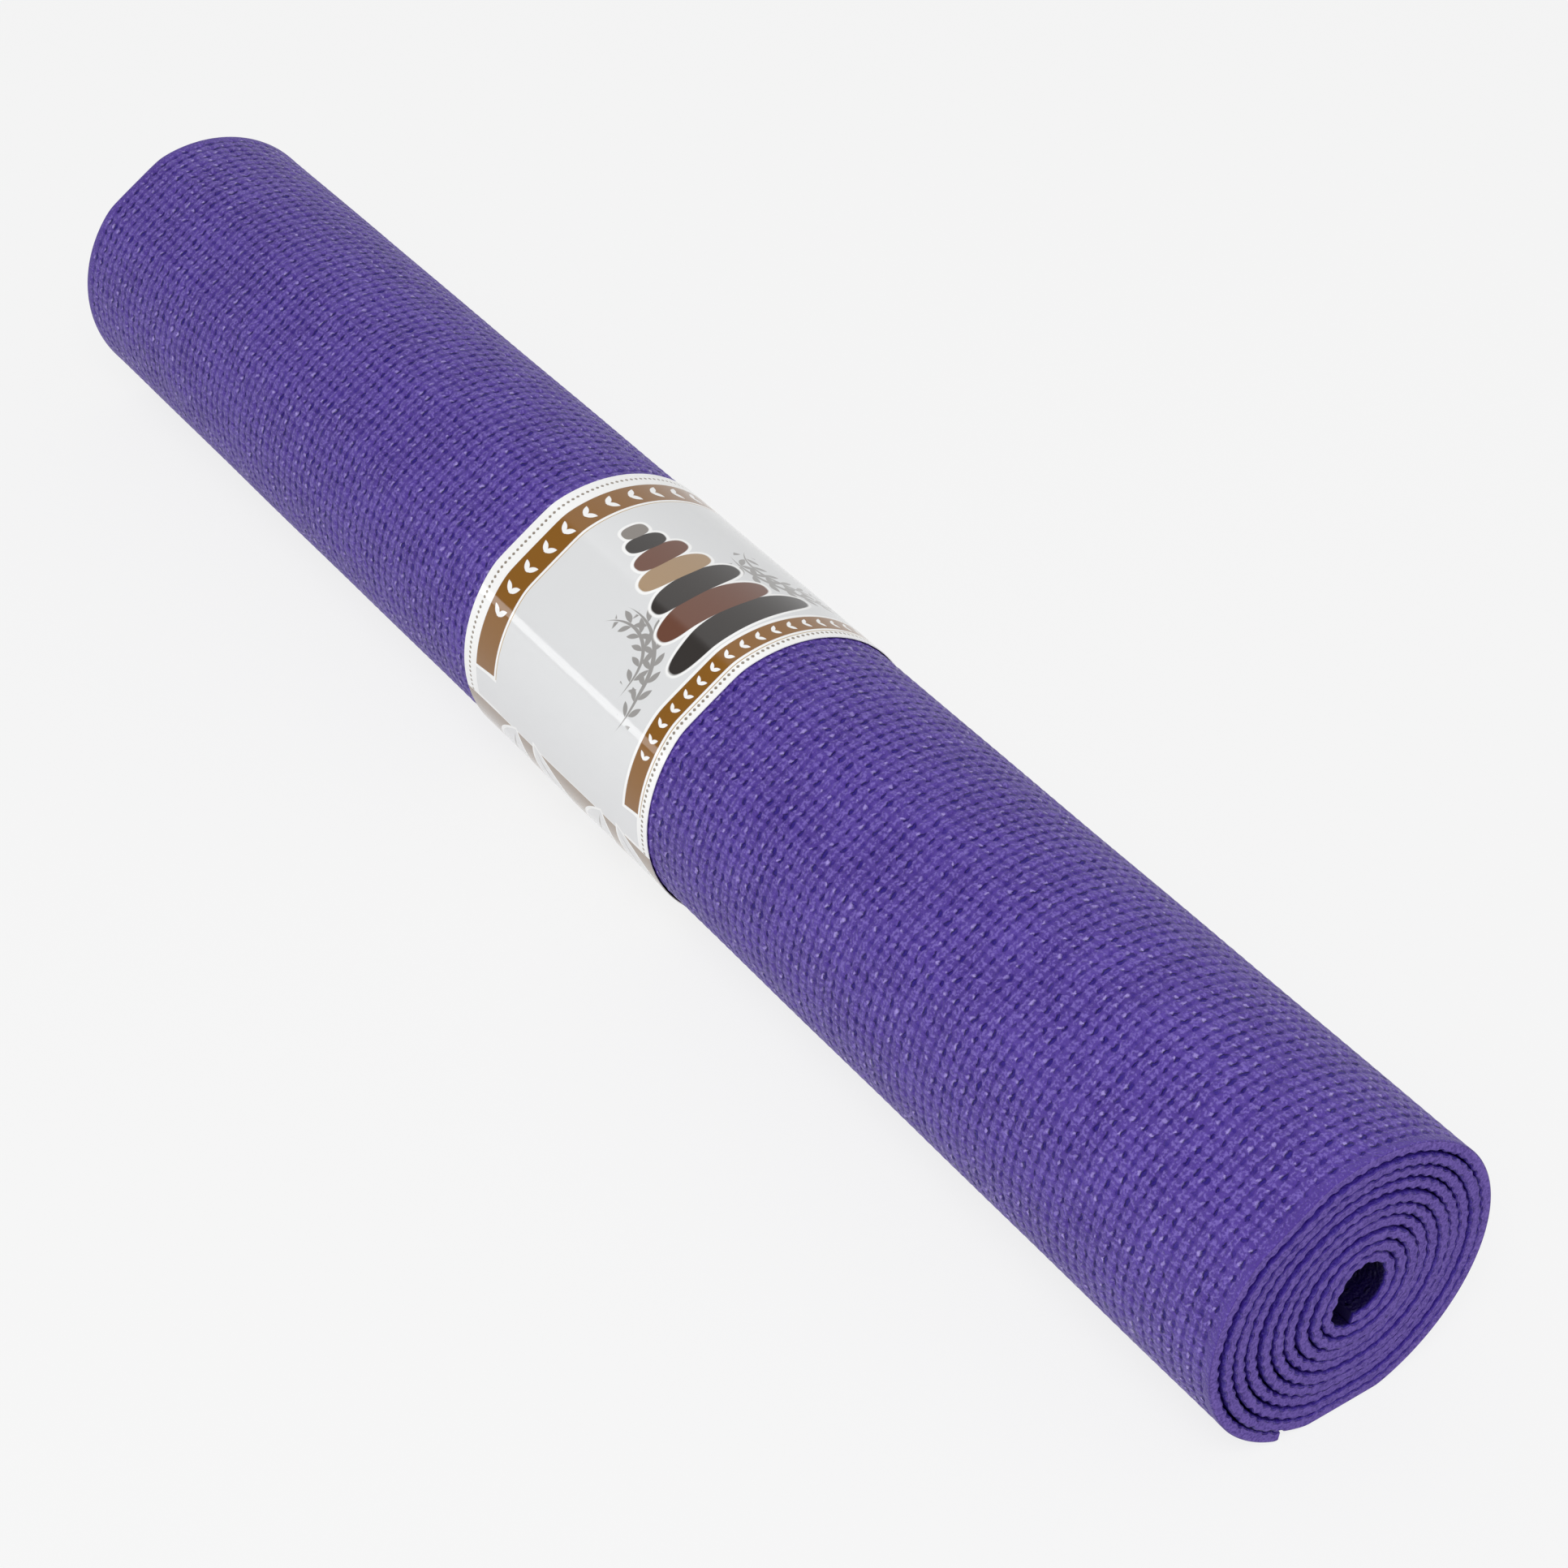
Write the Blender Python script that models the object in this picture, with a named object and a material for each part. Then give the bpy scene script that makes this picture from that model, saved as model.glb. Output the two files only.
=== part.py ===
"""A foam exercise mat, rolled up and held by a printed paper sleeve.

The roll lies along X on its flattened underside, with the end that shows its
spiral at +X and the free edge of the sheet low on the -Y side. The origin is
below the middle of the roll, on the surface that it rests on. Sections are
drawn in the YZ plane about the roll's axis and drawn out along X.
"""
import math

import bmesh
import bpy
from mathutils import Vector
from mathutils.geometry import convex_hull_2d

# The sheet, as it is cut and laid flat
MAT_LENGTH = 1.730
MAT_WIDTH = 0.610
MAT_THICKNESS = 0.00315
SCRIM_THICKNESS = 0.00025
LAYER_GAP = 0.0003

# The roll
CORE_RADIUS = 0.0069
TURN_GAP = 0.00069
CORE_SINK = 0.0038
CORE_SINK_DEG = 322.0
CORE_FLAT_DEG = 158.0
CORE_FLAT_REACH = 0.0047
CORE_STRETCH = 0.0009
CORE_FADE = 1.5
TAIL_LEAD_DEG = 26.3
FLANK_FLAT_DEG = 122.0
FLANK_FLAT_DEPTH = 0.0015
FLAT_FADE = 3
STEPS_PER_TURN = 36

# The paper sleeve
SLEEVE_WIDTH = 0.1016
SLEEVE_FROM_NEAR_END = 0.2513
SLEEVE_CLEARANCE = 0.0003
PAPER_THICKNESS = 0.00025
LAP_LENGTH = 0.016
LAP_MIDDLE_DEG = 318.0

# The glue strip in the sleeve's lap
GLUE_THICKNESS = 0.00015
GLUE_GAP = 0.0003
GLUE_MARGIN = 0.003
GLUE_END_MARGIN = 0.004

# Colours as the mat, the net and the paper show them, in linear light
FOAM_PURPLE = (0.107, 0.069, 0.301, 1.0)
NET_VIOLET = (0.19, 0.15, 0.38, 1.0)
PAPER_GREY = (0.76, 0.76, 0.77, 1.0)
GLUE_AMBER = (0.66, 0.58, 0.42, 1.0)

FULL_TURN = 2.0 * math.pi
STRAIGHT_DOWN = 1.5 * math.pi
SMOOTH_LIMIT = math.radians(30.0)

PITCH = MAT_THICKNESS + TURN_GAP
COAT_THICKNESS = (MAT_THICKNESS - SCRIM_THICKNESS - 2.0 * LAYER_GAP) / 2.0
TAIL_ANGLE = STRAIGHT_DOWN - math.radians(TAIL_LEAD_DEG)
FLANK_ANGLE = math.radians(FLANK_FLAT_DEG)
CORE_FLAT_ANGLE = math.radians(CORE_FLAT_DEG)


def turns_wound():
    """Turns that the sheet's whole length makes, wound from the core at one pitch."""
    core_middle = CORE_RADIUS + MAT_THICKNESS / 2.0
    wound = core_middle ** 2 + 2.0 * PITCH * MAT_LENGTH / FULL_TURN
    return (math.sqrt(wound) - core_middle) / PITCH


TURNS = turns_wound()


def wound_point(turn, depth):
    """Point of the sheet before anything presses on the roll.

    turn counts the turns from the core edge, and depth is measured outwards
    from the face of the sheet that looks at the core. Each turn lies a little
    further off the roll's axis than the one round it.
    """
    radius = CORE_RADIUS + PITCH * turn + depth
    angle = TAIL_ANGLE - FULL_TURN * (TURNS - turn)
    sink = CORE_SINK * (1.0 - turn / TURNS)
    sink_angle = math.radians(CORE_SINK_DEG)
    return Vector((
        radius * math.cos(angle) + sink * math.cos(sink_angle),
        radius * math.sin(angle) + sink * math.sin(sink_angle),
    ))


def heading(angle):
    """Unit vector at an angle, anticlockwise from +Y."""
    return Vector((math.cos(angle), math.sin(angle)))


def pressed_flats():
    """Each flat of the roll's outside: the way it faces, and its reach from the axis.

    The roll's weight flattens its underside, which goes down to the level of
    the free edge and no lower. The upper flank keeps a slight flat from the
    way the roll was packed.
    """
    down, flank = heading(STRAIGHT_DOWN), heading(FLANK_ANGLE)
    flank_turn = TURNS - (TAIL_ANGLE - FLANK_ANGLE) / FULL_TURN
    return (
        (down, wound_point(TURNS, MAT_THICKNESS).dot(down)),
        (flank, wound_point(flank_turn, MAT_THICKNESS).dot(flank) - FLANK_FLAT_DEPTH),
    )


FLATS = pressed_flats()


def rolled_point(turn, depth):
    """Point of the sheet at rest, pressed flat in two places outside and in one at the core.

    An outer flat fades towards the core. The open centre has a flat side,
    where the sheet was first folded over, and it stretches a little along that
    side. Both fade outwards and leave the outermost turn as it is.
    """
    point = wound_point(turn, depth)
    outer_turn = turn + math.floor(TURNS - turn)
    outermost = wound_point(outer_turn, MAT_THICKNESS)
    share = (point.length / outermost.length) ** FLAT_FADE
    for facing, reach in FLATS:
        point -= facing * max(0.0, outermost.dot(facing) - reach) * share
    innermost = wound_point(turn - math.floor(turn), 0.0)
    facing, aside = heading(CORE_FLAT_ANGLE), heading(CORE_FLAT_ANGLE + FULL_TURN / 4.0)
    share = max(0.0, 1.0 - turn / (TURNS - 1.0)) ** CORE_FADE
    point -= facing * max(0.0, innermost.dot(facing) - CORE_FLAT_REACH) * share
    point += aside * CORE_STRETCH * innermost.normalized().dot(aside) * share
    return point


def turn_stops():
    """Turn counts of the section's corners, from the free edge in to the core edge.

    They keep one set of angles for all turns, so that the facets of
    neighbouring turns lie parallel.
    """
    count = math.ceil(TURNS * STEPS_PER_TURN)
    return [max(0.0, TURNS - step / STEPS_PER_TURN) for step in range(count + 1)]


def layer_faces(near_core, near_outside):
    """The two faces of one layer of the sheet, as rows of section points."""
    inner = [rolled_point(turn, near_core) for turn in turn_stops()]
    outer = [rolled_point(turn, near_outside) for turn in turn_stops()]
    return inner, outer


def taut_outline():
    """Outline of a band drawn taut round the roll, anticlockwise from +Y."""
    last_turn = [turn for turn in turn_stops() if turn >= TURNS - 1.0]
    skin = [rolled_point(turn, MAT_THICKNESS) for turn in last_turn]
    corners = [skin[index] for index in convex_hull_2d(skin)]
    return sorted(corners, key=lambda corner: math.atan2(corner.y, corner.x) % FULL_TURN)


def moved_out(outline, distance):
    """The closed outline with each side moved outwards by the distance."""
    moved = []
    for index, corner in enumerate(outline):
        side_in = (corner - outline[index - 1]).normalized()
        side_out = (outline[(index + 1) % len(outline)] - corner).normalized()
        normal = Vector((side_in.y + side_out.y, -side_in.x - side_out.x)).normalized()
        moved.append(corner + normal * distance / normal.dot(Vector((side_in.y, -side_in.x))))
    return moved


def lap_steps(outline):
    """Number of the outline's sides that the sleeve's lap covers."""
    side = sum((outline[index] - outline[index - 1]).length for index in range(len(outline)))
    return max(1, round(LAP_LENGTH * len(outline) / side))


def lap_start(outline):
    """Index of the corner where the sleeve's inner end lies."""
    middle = math.radians(LAP_MIDDLE_DEG)
    angles = [math.atan2(corner.y, corner.x) % FULL_TURN for corner in outline]
    nearest = min(range(len(outline)), key=lambda index: abs(angles[index] - middle))
    return nearest - lap_steps(outline) // 2


def sleeve_face(outline, distance):
    """One face of the sleeve, from its inner end once round and over the lap."""
    lift = PAPER_THICKNESS + 2.0 * GLUE_GAP + GLUE_THICKNESS
    low = moved_out(outline, distance)
    high = moved_out(outline, distance + lift)
    start = lap_start(outline)
    corners = len(outline)
    under = [low[(start + step) % corners] for step in range(corners - 1)]
    over = [high[(start + step) % corners]
            for step in range(corners - 1, corners + lap_steps(outline) + 1)]
    return under + over


def glue_face(outline, distance):
    """One face of the glue strip, which lies inside the lap's ends by a margin."""
    layer = moved_out(outline, distance)
    start = lap_start(outline)
    steps = lap_steps(outline)
    lap = [layer[(start + step) % len(outline)] for step in range(steps + 1)]
    first = lap[0] + (lap[1] - lap[0]).normalized() * GLUE_MARGIN
    last = lap[-1] + (lap[-2] - lap[-1]).normalized() * GLUE_MARGIN
    return [first] + lap[1:-1] + [last]


def foam_material(name, colour, roughness):
    """Plain surface of one colour."""
    material = bpy.data.materials.new(name)
    material.use_nodes = True
    shader = material.node_tree.nodes["Principled BSDF"]
    shader.inputs["Base Color"].default_value = colour
    shader.inputs["Roughness"].default_value = roughness
    shader.inputs["Metallic"].default_value = 0.0
    material.diffuse_color = colour
    return material


def drawn_out_strip(name, faces, length, material, parent):
    """Solid with a strip between two rows of points as its section.

    The section is drawn out along X to the length, about its parent's place.
    """
    inner, outer = faces
    mesh = bpy.data.meshes.new(name)
    shape = bmesh.new()
    inner_row = [shape.verts.new((-length / 2.0, point.x, point.y)) for point in inner]
    outer_row = [shape.verts.new((-length / 2.0, point.x, point.y)) for point in outer]
    strip = [
        shape.faces.new((inner_row[i], inner_row[i + 1], outer_row[i + 1], outer_row[i]))
        for i in range(len(inner_row) - 1)
    ]
    drawn = bmesh.ops.extrude_face_region(shape, geom=strip)
    moved = [item for item in drawn["geom"] if isinstance(item, bmesh.types.BMVert)]
    bmesh.ops.translate(shape, verts=moved, vec=(length, 0.0, 0.0))
    bmesh.ops.recalc_face_normals(shape, faces=shape.faces)
    shape.to_mesh(mesh)
    shape.free()
    mesh.shade_smooth()
    mesh.set_sharp_from_angle(angle=SMOOTH_LIMIT)
    mesh.materials.append(material)
    solid = bpy.data.objects.new(name, mesh)
    bpy.context.scene.collection.objects.link(solid)
    solid.parent = parent
    return solid


def axis_empty(name, location, parent=None):
    """Empty that carries the pieces which move together."""
    empty = bpy.data.objects.new(name, None)
    empty.location = location
    empty.parent = parent
    bpy.context.scene.collection.objects.link(empty)
    return empty


def roll_place(outline):
    """Height and side shift of the roll's axis that put the origin below its middle."""
    outside = sleeve_face(outline, SLEEVE_CLEARANCE + PAPER_THICKNESS)
    sides = [point.x for point in outside]
    lowest = min(point.y for point in outside)
    return (0.0, -(min(sides) + max(sides)) / 2.0, -lowest)


def build_mat(roll):
    """The three layers of the sheet, rolled up together."""
    foam = foam_material("pvc_foam", FOAM_PURPLE, 0.6)
    net = foam_material("polyester_net", NET_VIOLET, 0.8)
    scrim_start = COAT_THICKNESS + LAYER_GAP
    scrim_end = scrim_start + SCRIM_THICKNESS
    layers = (
        ("inner_foam_coat", 0.0, COAT_THICKNESS, foam),
        ("polyester_scrim", scrim_start, scrim_end, net),
        ("outer_foam_coat", scrim_end + LAYER_GAP, MAT_THICKNESS, foam),
    )
    for name, near_core, near_outside, material in layers:
        faces = layer_faces(near_core, near_outside)
        drawn_out_strip(name, faces, MAT_WIDTH, material, roll)


def build_sleeve(roll, outline):
    """The paper sleeve and the glue strip in its lap, which slide along the roll."""
    middle = MAT_WIDTH / 2.0 - SLEEVE_FROM_NEAR_END - SLEEVE_WIDTH / 2.0
    slide = axis_empty("sleeve_slide", (middle, 0.0, 0.0), roll)
    paper = foam_material("printed_paper", PAPER_GREY, 0.3)
    glue = foam_material("dry_glue", GLUE_AMBER, 0.5)
    outside = SLEEVE_CLEARANCE + PAPER_THICKNESS
    paper_faces = (sleeve_face(outline, SLEEVE_CLEARANCE), sleeve_face(outline, outside))
    drawn_out_strip("paper_sleeve", paper_faces, SLEEVE_WIDTH, paper, slide)
    glue_inside = outside + GLUE_GAP
    glue_faces = (
        glue_face(outline, glue_inside),
        glue_face(outline, glue_inside + GLUE_THICKNESS),
    )
    glue_width = SLEEVE_WIDTH - 2.0 * GLUE_END_MARGIN
    drawn_out_strip("sleeve_glue_strip", glue_faces, glue_width, glue, slide)


def report_gaps():
    """Print the turns wound and the least gap between one turn and the next."""
    stops = [turn for turn in turn_stops() if turn >= 1.0]
    gaps = [
        (rolled_point(turn, 0.0) - rolled_point(turn - 1.0, MAT_THICKNESS)).length
        for turn in stops
    ]
    print(f"turns {TURNS:.2f}, least gap between turns {min(gaps):.5f} m")


def main():
    """Clear the scene and build the rolled mat and its sleeve."""
    for old in list(bpy.data.objects):
        bpy.data.objects.remove(old, do_unlink=True)
    outline = taut_outline()
    roll = axis_empty("roll_axis", roll_place(outline))
    build_mat(roll)
    build_sleeve(roll, outline)
    report_gaps()


main()
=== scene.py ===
"""Looks of a rolled foam exercise mat in its printed paper sleeve.

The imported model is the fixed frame. This script lays the detailed mat and the
paper sleeve over it, dresses the glue strip, and sets up a plain studio.
Lengths are in metres unless a name says otherwise. A section is drawn in the
YZ plane about the roll's axis, with its angles anticlockwise from +Y as seen
from the +X end, where the photograph shows the spiral.
"""
import logging
import math
from dataclasses import dataclass, field
from enum import Enum, IntEnum
from typing import Any, Iterator

import bpy
import numpy as np
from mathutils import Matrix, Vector
from mathutils.geometry import convex_hull_2d


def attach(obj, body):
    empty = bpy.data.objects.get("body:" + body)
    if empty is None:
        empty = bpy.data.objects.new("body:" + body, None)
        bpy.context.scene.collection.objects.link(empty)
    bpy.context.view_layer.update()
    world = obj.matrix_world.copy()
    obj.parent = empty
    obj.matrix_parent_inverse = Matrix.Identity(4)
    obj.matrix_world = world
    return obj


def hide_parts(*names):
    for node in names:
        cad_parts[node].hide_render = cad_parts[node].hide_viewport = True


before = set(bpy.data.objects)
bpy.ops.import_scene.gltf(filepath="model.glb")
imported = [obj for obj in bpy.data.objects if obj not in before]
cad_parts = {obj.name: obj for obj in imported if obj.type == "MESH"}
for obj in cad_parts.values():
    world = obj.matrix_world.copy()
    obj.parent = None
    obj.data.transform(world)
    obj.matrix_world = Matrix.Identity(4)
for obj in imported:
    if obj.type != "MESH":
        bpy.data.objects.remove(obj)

Array = np.ndarray
Node = bpy.types.Node
Socket = bpy.types.NodeSocket
Source = Node | Socket
Tree = bpy.types.ShaderNodeTree
Pair = tuple[float, float]
Triple = tuple[float, float, float]

LOG = logging.getLogger("rolled_mat")
FULL_TURN = 2.0 * math.pi
MM = 0.001
MAT_WIDTH = 0.610
MAT_LENGTH = 1.730
AXIS_Y = 0.000833
AXIS_Z = 0.043881
IMAGE_PIXELS = 1932
SENSOR_WIDTH_MM = 36.0
BAKE_MAP = "OFBake"
# Painted shade: inks that darken the foam deep in the gaps and in the open centre.
GAP_SHADE_INK = "#210A74"
HOLLOW_SHADE_INK = "#0D0431"


def linear(hex_colour: str) -> tuple[float, float, float, float]:
    """Turn an sRGB hex colour to linear light.

    Args:
        hex_colour: Six hex digits after a hash sign.

    Returns:
        Red, green, blue and an alpha of one.
    """
    parts = [int(hex_colour[i:i + 2], 16) / 255.0 for i in (1, 3, 5)]
    red, green, blue = [
        part / 12.92 if part <= 0.04045 else ((part + 0.055) / 1.055) ** 2.4
        for part in parts
    ]
    return (red, green, blue, 1.0)


def smooth_step(low: float, high: float, value: Array) -> Array:
    """Rise smoothly from 0 at low to 1 at high.

    Args:
        low: Value where the rise starts.
        high: Value where it ends.
        value: Where to read it.

    Returns:
        Share from 0 to 1.
    """
    share = np.clip((value - low) / (high - low), 0.0, 1.0)
    return share * share * (3.0 - 2.0 * share)


def feed(tree: Tree, node: Node, inputs: Any) -> Node:
    """Link or set inputs of a node.

    Args:
        tree: Node tree that holds it.
        node: The node.
        inputs: Value or source of each input, in order, or by name in a
            dictionary. A node as a source stands for its first output in use.

    Returns:
        The same node.
    """
    pairs = inputs.items() if isinstance(inputs, dict) else enumerate(inputs)
    for name, value in pairs:
        if isinstance(value, Node):
            value = next(socket for socket in value.outputs if socket.enabled)
        if isinstance(value, Socket):
            tree.links.new(value, node.inputs[name])
        else:
            node.inputs[name].default_value = value
    return node


def add(tree: Tree, kind: str, inputs: Any = (), **settings: Any) -> Node:
    """Add a shader node with its settings, values and links.

    Args:
        tree: Node tree that gets it.
        kind: Blender's name for the node, after the word ShaderNode.
        inputs: Value or source of each input, as feed takes them.
        **settings: Properties of the node itself.

    Returns:
        The new node.
    """
    node = tree.nodes.new("ShaderNode" + kind)
    for name, value in settings.items():
        setattr(node, name, value)
    return feed(tree, node, inputs)


def inked(tree: Tree, colour: Any, *layers: tuple[Source, str]) -> Any:
    """Lay inks over a colour, one after the other.

    Args:
        tree: Node tree of the material.
        colour: Colour below them, or its source.
        *layers: For each ink, the mask of where it goes and its hex colour.

    Returns:
        Source of the colour on top.
    """
    for mask, ink in layers:
        colour = add(tree, "Mix", {"Factor": mask, "A": colour, "B": linear(ink)},
                     data_type="RGBA")
    return colour


def new_material(name: str) -> tuple[bpy.types.Material, Tree, Node]:
    """Start a material whose shader is the principled one.

    Args:
        name: Name of the material.

    Returns:
        The material, its node tree and its shader.
    """
    material = bpy.data.materials.new(name)
    material.use_nodes = True
    tree = material.node_tree
    return material, tree, tree.nodes["Principled BSDF"]


def deselect_all() -> None:
    """Leave nothing selected and nothing active."""
    bpy.ops.object.select_all(action="DESELECT")
    bpy.context.view_layer.objects.active = None


def painted_gap_shade(tree: Tree) -> tuple[tuple[Source, str], ...]:
    """Paint shade on the foam where it lies deep in a gap, and in the open centre.

    Args:
        tree: Node tree of the material.

    Returns:
        Mask and ink of the painted shade in the gaps between turns, and in the open centre.
    """
    # The gap attribute holds how much painted shade each point gets.
    depth = add(tree, "Attribute", attribute_name="gap").outputs["Fac"]
    hollow_shade = add(tree, "MapRange", (depth, 1.0, 2.0))
    return (depth, GAP_SHADE_INK), (hollow_shade, HOLLOW_SHADE_INK)


class SheetSide(Enum):
    """Which face of the mat a point lies on."""

    TOWARDS_CORE = 0
    OUTWARDS = 1


class MapPart(IntEnum):
    """Part of the unrolled map that a face goes to."""

    SHOWN = 0
    COVERED = 1
    INNER = 2
    FAR_EDGE = 3
    NEAR_EDGE = 4
    TAIL_EDGE = 5
    CORE_EDGE = 6


@dataclass(frozen=True)
class Mark:
    """Small oval in each mesh of the net, whose place and strength vary.

    Its strength is the least one where the mesh's random value is 0, and full
    where that value is full_from or more.
    """

    middle_mm: Pair
    size_mm: Pair
    luck_axis: int
    full_from: float
    least: float


@dataclass(frozen=True)
class FoamSkin:
    """PVC foam coated on a net and set in an oven, dyed through.

    The skin is closed and slightly glossy. Ridges stand where the net's
    threads run round the roll, and a small pit is left in each mesh. Painted
    shade darkens the pits, the dips and the gaps, and painted highlights
    lighten the crests and the beads beside the pits.
    The pits and ridges follow the sheet, whose millimetres the mesh carries.
    """

    name: str = "coated_pvc_foam"
    # Painted highlight: pale ink on the high crests of the relief.
    crest_highlight: str = "#7763B8"
    # Painted highlight: pale ink of the glints on the beads; their bump and gloss are real.
    painted_glint_bead: str = "#A392DA"
    crown: str = "#533B99"
    shade: str = "#4A328C"
    # Painted shade: the pit ink darkens each pit and the dips of the relief.
    pit: str = "#2B157F"
    roughness: float = 0.46
    bead_roughness: float = 0.14
    bead_gloss_from: Pair = (0.1, 0.5)
    refraction: float = 1.42
    mottle_mm: float = 14.0
    mottle_range: Pair = (0.35, 0.65)
    grain_mm: float = 0.8
    wander_mm: float = 2.6
    wander_reach_mm: Triple = (2.4, 2.8, 0.0)
    mesh_mm: Pair = (3.8365, 4.45)
    pit_mark: Mark = Mark((0.0, 0.0), (0.52, 1.05), 0, 0.6, 0.1)
    bead_mark: Mark = Mark((-0.95, -0.45), (0.42, 0.60), 1, 1.1, -0.2)
    mark_shift: Triple = (-0.14, 0.22, 0.0)
    mark_size_range: Pair = (0.7, 1.35)
    mark_edge: Pair = (1.35, 0.55)
    thread_heights: Pair = (0.85, 0.6)
    bar_heights: Pair = (0.45, 0.6)
    plain_height: float = 1.25
    grain_height: float = 3.8
    pit_height: float = -3.6
    bead_height: float = 1.6
    bump_mm: float = 0.18
    crest_highlight_range: Pair = (3.15, 4.1)
    crest_highlight_cover: float = 0.85
    dip_shade_range: Pair = (2.75, 1.75)
    dip_shade_cover: float = 0.6
    end_fade_mm: Pair = (1.4, 4.0)

    def cells(self, tree: Tree, sheet: Source) -> tuple[Source, Source]:
        """Find the mesh of the net that each point lies in.

        Args:
            tree: Node tree of the material.
            sheet: Millimetres across and along the sheet.

        Returns:
            Place within the mesh, from -0.5 to 0.5, and a random colour per mesh.
        """
        wander = add(tree, "TexNoise", {
            "Vector": sheet, "Scale": 1.0 / self.wander_mm, "Detail": 4.0, "Roughness": 0.6,
        }).outputs["Color"]
        centred = add(tree, "VectorMath", (wander, (0.5, 0.5, 0.5)), operation="SUBTRACT")
        pushed = add(tree, "VectorMath", (centred, self.wander_reach_mm, sheet),
                     operation="MULTIPLY_ADD")
        per_mm = (1.0 / self.mesh_mm[0], 1.0 / self.mesh_mm[1], 0.0)
        counted = add(tree, "VectorMath", (pushed, per_mm, (0.5, 0.0, 0.0)),
                      operation="MULTIPLY_ADD")
        index = add(tree, "VectorMath", (counted,), operation="FLOOR")
        luck = add(tree, "TexWhiteNoise", {"Vector": index}, noise_dimensions="2D")
        share = add(tree, "VectorMath", (counted, index), operation="SUBTRACT")
        within = add(tree, "VectorMath", (share, (0.5, 0.5, 0.0)), operation="SUBTRACT")
        return within, luck.outputs["Color"]

    def marked(self, tree: Tree, mark: Mark, cell: tuple[Source, Source],
               inside: Source) -> Node:
        """Mask of one mark in every mesh.

        Args:
            tree: Node tree of the material.
            mark: The mark.
            cell: Place within the mesh, and the mesh's random colour.
            inside: 1, but 0 near the cut ends, which have no marks.

        Returns:
            Up to 1 inside the oval and 0 outside, with a soft edge.
        """
        within, luck = cell
        middle = [place / mesh + shift / 2.0 for place, mesh, shift in zip(
            mark.middle_mm, self.mesh_mm, self.mark_shift)]
        stretch = [mesh / size for mesh, size in zip(self.mesh_mm, mark.size_mm)]
        moved = add(tree, "VectorMath", (luck, self.mark_shift, within),
                    operation="MULTIPLY_ADD")
        placed = add(tree, "VectorMath", (moved, (*middle, 0.0)), operation="SUBTRACT")
        scaled = add(tree, "VectorMath", (placed, (*stretch, 0.0)), operation="MULTIPLY")
        reach = add(tree, "VectorMath", (scaled,), operation="LENGTH")
        values = add(tree, "SeparateXYZ", (luck,)).outputs
        size = add(tree, "MapRange", (values[2], 0.0, 1.0, *self.mark_size_range))
        away = add(tree, "Math", (reach, size), operation="DIVIDE")
        oval = add(tree, "MapRange", (away, *self.mark_edge), interpolation_type="SMOOTHSTEP")
        strength = add(tree, "MapRange", (
            values[mark.luck_axis], 0.0, mark.full_from, mark.least, 1.0))
        shown = add(tree, "Math", (oval, strength), operation="MULTIPLY")
        return add(tree, "Math", (shown, inside), operation="MULTIPLY", use_clamp=True)

    @staticmethod
    def ridge(tree: Tree, place: Source, heights: Pair) -> Node:
        """Profile of the threads beside a mesh.

        Args:
            tree: Node tree of the material.
            place: Place within the mesh, from -0.5 to 0.5.
            heights: Height of one broad ridge per mesh, and of two narrow ones.

        Returns:
            Height, which is 0 in the middle of the mesh.
        """
        waves = []
        for count, high in enumerate(heights, start=1):
            turned = add(tree, "Math", (place, FULL_TURN * count), operation="MULTIPLY")
            wave = add(tree, "Math", (turned,), operation="COSINE")
            waves.append(add(tree, "MapRange", (wave, 1.0, -1.0, 0.0, high)))
        return add(tree, "Math", waves)

    def material(self) -> bpy.types.Material:
        """Build the material.

        Returns:
            The finished material.
        """
        material, tree, shader = new_material(self.name)
        sheet = add(tree, "Attribute", attribute_name="sheet_mm").outputs["Vector"]
        half_mm = MAT_WIDTH / MM / 2.0
        across = add(tree, "SeparateXYZ", (sheet,)).outputs[0]
        off = add(tree, "Math", (across, half_mm), operation="SUBTRACT")
        side = add(tree, "Math", (off,), operation="ABSOLUTE")
        ends = [half_mm - fade for fade in self.end_fade_mm]
        inside = add(tree, "MapRange", (side, *ends), interpolation_type="SMOOTHSTEP")
        cell = self.cells(tree, sheet)
        place = add(tree, "SeparateXYZ", (cell[0],)).outputs
        ridge = self.ridge(tree, place[0], self.thread_heights)
        bar = self.ridge(tree, place[1], self.bar_heights)
        # The pit mask sinks the bump, and it also places the painted shade in each pit.
        pit = self.marked(tree, self.pit_mark, cell, inside)
        # The bead mask raises a bump, lowers the roughness and places the painted glints.
        painted_glint_bead = self.marked(tree, self.bead_mark, cell, inside)
        fine = add(tree, "TexNoise", {
            "Vector": sheet, "Scale": 1.0 / self.grain_mm, "Detail": 2.0, "Roughness": 0.55,
        })
        crossed = add(tree, "Math", (bar, ridge))
        relief = add(tree, "Mix", {"Factor": inside, "A": self.plain_height, "B": crossed})
        grained = add(tree, "Math", (fine, self.grain_height, relief),
                      operation="MULTIPLY_ADD")
        sunk = add(tree, "Math", (pit, self.pit_height, grained), operation="MULTIPLY_ADD")
        height = add(tree, "Math", (painted_glint_bead, self.bead_height, sunk), operation="MULTIPLY_ADD")
        bump = add(tree, "Bump", {
            "Height": height, "Strength": 1.0, "Distance": self.bump_mm * MM,
        })
        mottle = add(tree, "TexNoise", {
            "Vector": add(tree, "TexCoord").outputs["Object"],
            "Scale": 1.0 / (self.mottle_mm * MM), "Detail": 4.0,
        })
        tone = add(tree, "MapRange", (mottle, *self.mottle_range))
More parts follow.
